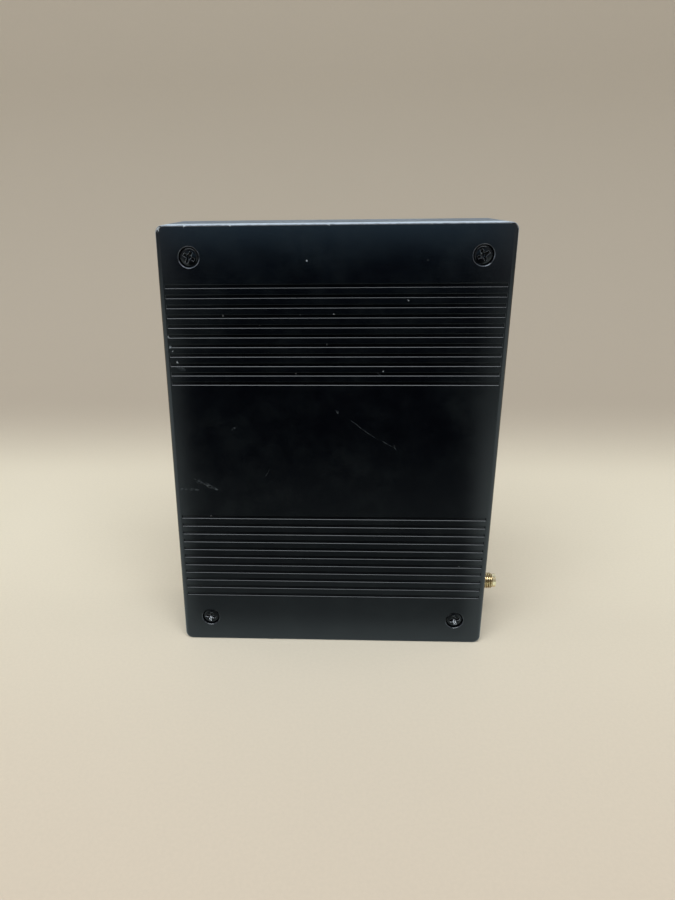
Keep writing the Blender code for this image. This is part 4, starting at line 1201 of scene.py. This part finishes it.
class BOOSTER_OT_front_housing(Operator):
    """The moulded front housing, with its bosses, posts, jack hole, inlet hole and light holes"""

    bl_idname = "booster.front_housing"
    bl_label = "Front housing"

    def execute(self, context):
        case = context.scene.booster_case
        low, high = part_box("front_housing")
        housing = rounded_tray(
            "front_housing_moulding", "front_housing", high.y, case.front_round,
            case.front_round * 0.8,
        )
        floor_y = high.y - case.housing_wall
        hollow_out(housing, "front_housing", case.housing_wall, 0.0012, low.y - 0.001, floor_y)
        self.add_columns(housing, low, floor_y)
        self.cut_side_holes(housing, high)
        self.cut_light_holes(housing, high)
        finish_piece(housing, "housing_black", "front_housing", angle=28)
        return {"FINISHED"}

    def add_columns(self, housing, low, floor_y):
        for corner in CORNERS:
            centre = middle(f"thread_insert_{corner}")
            height = floor_y - low.y
            join_round(housing, (centre.x, low.y, centre.z), "+Y", (
                (0, 0.0043), (0.0003, 0.0046), (height - 0.0015, 0.0046), (height, 0.0056),
                (height + 0.001, 0.0056),
            ))
            cut_round(housing, (centre.x, low.y, centre.z), "+Y", (
                (-0.001, 0.0034), (-0.0001, 0.0033), (0.0003, 0.0029), (0.0063, 0.0029),
                (0.0063, SCREW_HOLE), (0.0104, SCREW_HOLE),
            ))
        for corner in POSTS:
            centre = middle(f"board_screw_{corner}")
            top_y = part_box("main_board")[1].y + 0.0003
            height = floor_y - top_y
            join_round(housing, (centre.x, top_y, centre.z), "+Y", (
                (0, 0.0027), (0.0003, 0.0030), (height - 0.001, 0.0030), (height, 0.0038),
                (height + 0.001, 0.0038),
            ), segments=30)
            cut_round(housing, (centre.x, top_y, centre.z), "+Y", (
                (-0.001, 0.0014), (0.006, 0.0014),
            ), segments=24)

    def cut_side_holes(self, housing, high):
        jack = middle("sma_jack_body")
        inlet = middle("dc_jack_pin")
        wall = bpy.context.scene.booster_case.housing_wall
        for centre, radius, lip in ((jack, JACK_HOLE, 0.0002), (inlet, 0.0039, 0.0005)):
            cut_round(housing, (high.x, centre.y, centre.z), "+X", (
                (-wall - 0.001, radius), (-lip, radius), (-lip * 0.3, radius + lip * 0.3),
                (0.0, radius + lip), (0.001, radius + lip * 4),
            ))

    def cut_light_holes(self, housing, high):
        wall = bpy.context.scene.booster_case.housing_wall
        for lamp in STATUS_LIGHTS:
            centre = middle(lamp)
            cut_round(housing, (centre.x, high.y, centre.z), "+Y", (
                (-wall - 0.001, 0.0015), (-0.0002, 0.0015), (0.0, 0.0017), (0.001, 0.0027),
            ), segments=32)


class BOOSTER_OT_cover_screws(Operator):
    """The four black cover screws: rounded heads with cross recesses, threaded shanks"""

    bl_idname = "booster.cover_screws"
    bl_label = "Cover screws"

    # How far each screw was turned when it was driven home, in degrees
    DRIVEN = {"top_left": 28, "top_right": 62, "bottom_left": 12, "bottom_right": 74}

    def execute(self, context):
        model = self.model_screw(context.scene.booster_fastener)
        for corner in CORNERS:
            low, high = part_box(f"cover_screw_{corner}")
            centre = (low + high) / 2
            screw = copy_of(model, f"cover_screw_{corner}_finished")
            turn = Matrix.Rotation(math.radians(self.DRIVEN[corner]), 4, "Y")
            move_mesh(screw, Matrix.Translation((centre.x, low.y, centre.z)) @ turn)
            finish_piece(screw, "screw_black", f"cover_screw_{corner}", angle=30)
        bpy.data.objects.remove(model)
        return {"FINISHED"}

    def model_screw(self, fastener):
        """One screw, driven towards +Y, with the rim of its head at the origin."""
        head = fastener.head_radius
        shank = fastener.shank_radius
        crown = fastener.head_raised
        root = shank - 0.00022
        end = 0.0148
        screw = turned("screw", (0, 0, 0), "+Y", (
            (-crown, head * 0.52), (-crown * 0.7, head * 0.74), (0.0, head * 0.91),
            (0.00016, head * 0.98), (0.0004, head), (0.0016, head),
            (HEAD_DEPTH, head * 0.96), (HEAD_DEPTH, root), (end - 0.0008, root), (end, root * 0.35),
        ))
        turns = int((end - 0.0042) / fastener.thread_pitch)
        ridge = thread_ridge(
            "thread", (0, 0.0031, 0), "+Y", root, shank, fastener.thread_pitch, turns, steps=24
        )
        combine(screw, ridge, "UNION")
        for tool in self.recess_tools(head):
            combine(screw, tool, "DIFFERENCE")
        return screw

    def recess_tools(self, head):
        """The two crossed wings and the tapered middle of a driver recess."""
        depth = 0.0012
        half_length = head * 0.66
        half_width = 0.00046
        flare = 0.0006
        wing = start_block(
            "wing", (-half_length, -0.00006, -half_width), (half_length, depth, half_width)
        )
        edit(wing)
        pick(wing, "FACE", lambda face: face.normal.y > 0.9)
        bpy.ops.transform.resize(value=(0.42, 1, 0.55), center_override=(0, depth, 0))
        pick(wing, "FACE", lambda face: face.normal.y < -0.9)
        push((0, -flare, 0))
        bpy.ops.transform.resize(
            value=((half_length + flare) / half_length, 1, (half_width + flare) / half_width),
            center_override=(0, 0, 0),
        )
        leave_edit()
        other = copy_of(wing, "other_wing")
        move_mesh(other, Matrix.Rotation(math.pi / 2, 4, "Y"))
        point = turned("point", (0, 0, 0), "+Y", (
            (-0.001, 0.00096), (-0.0002, 0.00096), (depth, 0.00055), (depth + 0.0002, 0.00008),
        ), segments=22)
        return wing, other, point


class BOOSTER_OT_jack_barrel(Operator):
    """The antenna jack's gold barrel: tail, flange, threaded stretch and plain nose"""

    bl_idname = "booster.jack_barrel"
    bl_label = "Jack barrel"

    def execute(self, context):
        jack = context.scene.booster_jack
        start, total = round_box("sma_jack_body")[:2]
        root = JACK_CREST - jack.thread_depth
        nose = 0.00265
        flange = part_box("dc_jack_body")[1].x - start.x
        nose_start = total - jack.nose_length
        bore_floor = flange + 0.0012
        barrel = turned("antenna_jack_barrel", start, "+X", (
            (0, 0.0024), (0.0002, 0.0026), (flange - 0.002, 0.0026), (flange - 0.002, 0.0041),
            (flange - 0.0017, 0.0044), (flange - 0.0002, 0.0044), (flange, 0.0042),
            (flange, root), (nose_start - 0.00025, root), (nose_start - 0.0001, nose + 0.0001),
            (nose_start + 0.0001, nose), (total - 0.00022, nose), (total - 0.00006, nose - 0.00006),
            (total, nose - 0.00016), (total, 0.00245), (total - 0.00012, 0.00236),
            (total - 0.0004, 0.00235), (bore_floor, 0.00235),
        ), segments=64)
        turns = int((nose_start - flange - 0.0016) / jack.thread_pitch)
        ridge_x = start.x + nose_start - 0.0005 - turns * jack.thread_pitch
        ridge = thread_ridge(
            "thread", (ridge_x, start.y, start.z), "+X", root, JACK_CREST, jack.thread_pitch,
            turns, steps=64,
        )
        combine(barrel, ridge, "UNION")
        finish_piece(barrel, "gold_plate", "sma_jack_body", angle=35)
        return {"FINISHED"}


class BOOSTER_OT_jack_nut(Operator):
    """The jack's nut: a hexagon with chamfered corners on both faces"""

    bl_idname = "booster.jack_nut"
    bl_label = "Jack nut"

    def execute(self, context):
        low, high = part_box("sma_nut")
        place, thick, corner = round_box("sma_nut")
        corner = max(corner, (high.y - low.y) / 2)
        nut = start_piece(
            "antenna_jack_nut", bpy.ops.mesh.primitive_cylinder_add, vertices=6, radius=corner,
            depth=thick, location=middle("sma_nut"), rotation=DIRECTIONS["+X"][1],
        )
        flat = corner * math.cos(math.pi / 6)
        crown = turned("crown", place, "+X", (
            (0, flat * 0.97), (thick * 0.16, corner * 1.02), (thick * 0.84, corner * 1.02),
            (thick, flat * 0.97),
        ), segments=96)
        combine(nut, crown, "INTERSECT")
        cut_round(nut, place, "+X", (
            (-0.0003, 0.0041), (0.0003, JACK_HOLE), (thick - 0.0003, JACK_HOLE),
            (thick + 0.0003, 0.0041),
        ), segments=64)
        round_edges(
            nut, lambda edge: edge.is_manifold and edge.calc_face_angle() > 0.45, 0.00005, 2
        )
        finish_piece(nut, "gold_plate", "sma_nut", angle=30)
        return {"FINISHED"}


class BOOSTER_OT_jack_washer(Operator):
    """The jack's lock washer, with teeth turned alternately out of its plane"""

    bl_idname = "booster.jack_washer"
    bl_label = "Jack washer"

    def execute(self, context):
        place, thick, radius = round_box("sma_lock_washer")
        back = thick * 0.25
        front = thick * 0.75
        washer = turned("antenna_jack_washer", place, "+X", (
            (back, JACK_HOLE), (back, radius * 0.86), (back, radius), (front, radius),
            (front, radius * 0.86), (front, JACK_HOLE), (back, JACK_HOLE),
        ), segments=48, ring=True)
        teeth = 12
        for vertex in washer.data.vertices:
            arm = vertex.co - place
            if math.hypot(arm.y, arm.z) < JACK_HOLE * 1.1:
                phase = math.atan2(arm.z, arm.y) * teeth
                vertex.co.x += thick * 0.2 * math.sin(phase)
        finish_piece(washer, "gold_plate", "sma_lock_washer", angle=35)
        return {"FINISHED"}


class BOOSTER_OT_jack_insulator(Operator):
    """The white insulator that holds the jack's contact"""

    bl_idname = "booster.jack_insulator"
    bl_label = "Jack insulator"

    def execute(self, context):
        place, run, radius = round_box("sma_insulator")
        hole = 0.000935
        piece = turned("antenna_jack_insulator", place, "+X", (
            (0, radius), (run - 0.0001, radius), (run, radius - 0.0001), (run, hole + 0.0001),
            (run - 0.0001, hole), (0, hole), (0, radius),
        ), segments=40, ring=True)
        finish_piece(piece, "nylon_white", "sma_insulator")
        return {"FINISHED"}


class BOOSTER_OT_jack_contact(Operator):
    """The jack's socket contact: its mouth is split in four"""

    bl_idname = "booster.jack_contact"
    bl_label = "Jack contact"

    def execute(self, context):
        place, run, radius = round_box("sma_centre_contact")
        contact = turned("antenna_jack_contact", place, "+X", (
            (0, radius * 0.8), (radius * 0.3, radius), (run - 0.00012, radius),
            (run, radius * 0.84), (run, radius * 0.62), (run - 0.0002, radius * 0.52),
            (run - 0.002, radius * 0.52),
        ), segments=32)
        for turn in (0, math.pi / 2):
            cut_slot(contact, "sma_centre_contact", 0.0016, 0.00012, turn)
        finish_piece(contact, "gold_plate", "sma_centre_contact")
        return {"FINISHED"}


class BOOSTER_OT_inlet_body(Operator):
    """The moulded body of the round power inlet, behind its hole in the side"""

    bl_idname = "booster.inlet_body"
    bl_label = "Inlet body"

    def execute(self, context):
        low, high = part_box("dc_jack_body")
        pin_start = round_box("dc_jack_pin")[0]
        body = start_block("power_inlet_body", low, high)
        round_edges(body, lambda edge: True, 0.0004, 3)
        depth = high.x - pin_start.x + 0.0003
        cut_round(body, (high.x, pin_start.y, pin_start.z), "+X", (
            (-depth, 0.0032), (-0.0004, 0.0032), (-0.0001, 0.00335), (0.0001, 0.0036),
            (0.001, 0.0045),
        ))
        finish_piece(body, "inlet_black", "dc_jack_body")
        return {"FINISHED"}


class BOOSTER_OT_inlet_pin(Operator):
    """The inlet's split centre pin"""

    bl_idname = "booster.inlet_pin"
    bl_label = "Inlet pin"

    def execute(self, context):
        place, run, radius = round_box("dc_jack_pin")
        pin = turned("power_inlet_pin", place, "+X", (
            (0, radius), (run - 0.0007, radius), (run - 0.0002, radius * 0.82), (run, radius * 0.5),
        ), segments=32)
        cut_slot(pin, "dc_jack_pin", 0.004, 0.00026)
        finish_piece(pin, "contact_nickel", "dc_jack_pin")
        return {"FINISHED"}


class BOOSTER_OT_inlet_leaf(Operator):
    """The inlet's spring leaf, bowed a little towards the pin"""

    bl_idname = "booster.inlet_leaf"
    bl_label = "Inlet leaf"

    def execute(self, context):
        low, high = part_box("dc_jack_contact")
        leaf = start_block("power_inlet_leaf", low, high)
        edit(leaf)
        bpy.ops.mesh.select_all(action="SELECT")
        bpy.ops.mesh.subdivide(number_cuts=11)
        leave_edit()
        run = high.x - low.x
        for vertex in leaf.data.vertices:
            share = (vertex.co.x - low.x) / run
            vertex.co.z -= 0.00045 * math.sin(math.pi * share) ** 2
        finish_piece(leaf, "contact_nickel", "dc_jack_contact")
        return {"FINISHED"}


class BOOSTER_OT_light_guide(Operator):
    """The clear guide: three rods with domed ends on one bar"""

    bl_idname = "booster.light_guide"
    bl_label = "Light guide"

    def execute(self, context):
        low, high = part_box("light_guide")
        centres = [middle(lamp) for lamp in STATUS_LIGHTS]
        bar_y = (low.y + high.y) / 2
        guide = start_block(
            "status_light_guide", (centres[0].x, bar_y - 0.0007, low.z + 0.0006),
            (centres[-1].x, bar_y + 0.0007, high.z - 0.0006),
        )
        run = high.y - low.y
        for centre in centres:
            join_round(guide, (centre.x, low.y, centre.z), "+Y", (
                (0, 0.0010), (0.0001, 0.0012), (run - 0.0005, 0.0012), (run - 0.00025, 0.00108),
                (run - 0.0001, 0.0008), (run, 0.0003),
            ), segments=32)
        finish_piece(guide, "guide_clear", "light_guide")
        return {"FINISHED"}


class BOOSTER_OT_finishes(Operator):
    """Gives every carried-over piece of the frame its finish"""

    bl_idname = "booster.finishes"
    bl_label = "Finishes inside"

    def execute(self, context):
        slots = {part["node"]: part["material_slot"] for part in frame["record"]["subparts"]}
        for node, piece in frame["nodes"].items():
            if not piece.hide_render:
                dress(piece, slots[node])
        return {"FINISHED"}


class BOOSTER_PT_panel(Panel):
    """Every operator in its order, and below them the settings"""

    bl_label = "Signal booster"
    bl_idname = "BOOSTER_PT_panel"
    bl_space_type = "VIEW_3D"
    bl_region_type = "UI"
    bl_category = "Booster"

    def draw(self, context):
        layout = self.layout
        for operator in OPERATORS:
            layout.operator(operator.bl_idname)
        for name in SETTINGS:
            group = getattr(context.scene, name)
            box = layout.box()
            for key in group.__annotations__:
                box.prop(group, key)


OPERATORS = (
    BOOSTER_OT_stage,
    BOOSTER_OT_rear_cover,
    BOOSTER_OT_front_housing,
    BOOSTER_OT_cover_screws,
    BOOSTER_OT_jack_barrel,
    BOOSTER_OT_jack_nut,
    BOOSTER_OT_jack_washer,
    BOOSTER_OT_jack_insulator,
    BOOSTER_OT_jack_contact,
    BOOSTER_OT_inlet_body,
    BOOSTER_OT_inlet_pin,
    BOOSTER_OT_inlet_leaf,
    BOOSTER_OT_light_guide,
    BOOSTER_OT_finishes,
)
SETTINGS = {
    "booster_case": CaseSettings,
    "booster_fastener": FastenerSettings,
    "booster_jack": JackSettings,
    "booster_stage": StageSettings,
}


def register():
    for item in (*SETTINGS.values(), *OPERATORS, BOOSTER_PT_panel):
        bpy.utils.register_class(item)
    for key, group in SETTINGS.items():
        setattr(bpy.types.Scene, key, PointerProperty(type=group))


def unregister():
    for key in SETTINGS:
        delattr(bpy.types.Scene, key)
    for item in reversed((*SETTINGS.values(), *OPERATORS, BOOSTER_PT_panel)):
        bpy.utils.unregister_class(item)


def main():
    register()
    LOOKS.update(make_looks())
    for operator in OPERATORS:
        group, name = operator.bl_idname.split(".")
        getattr(getattr(bpy.ops, group), name)()


if __name__ == "__main__":
    main()
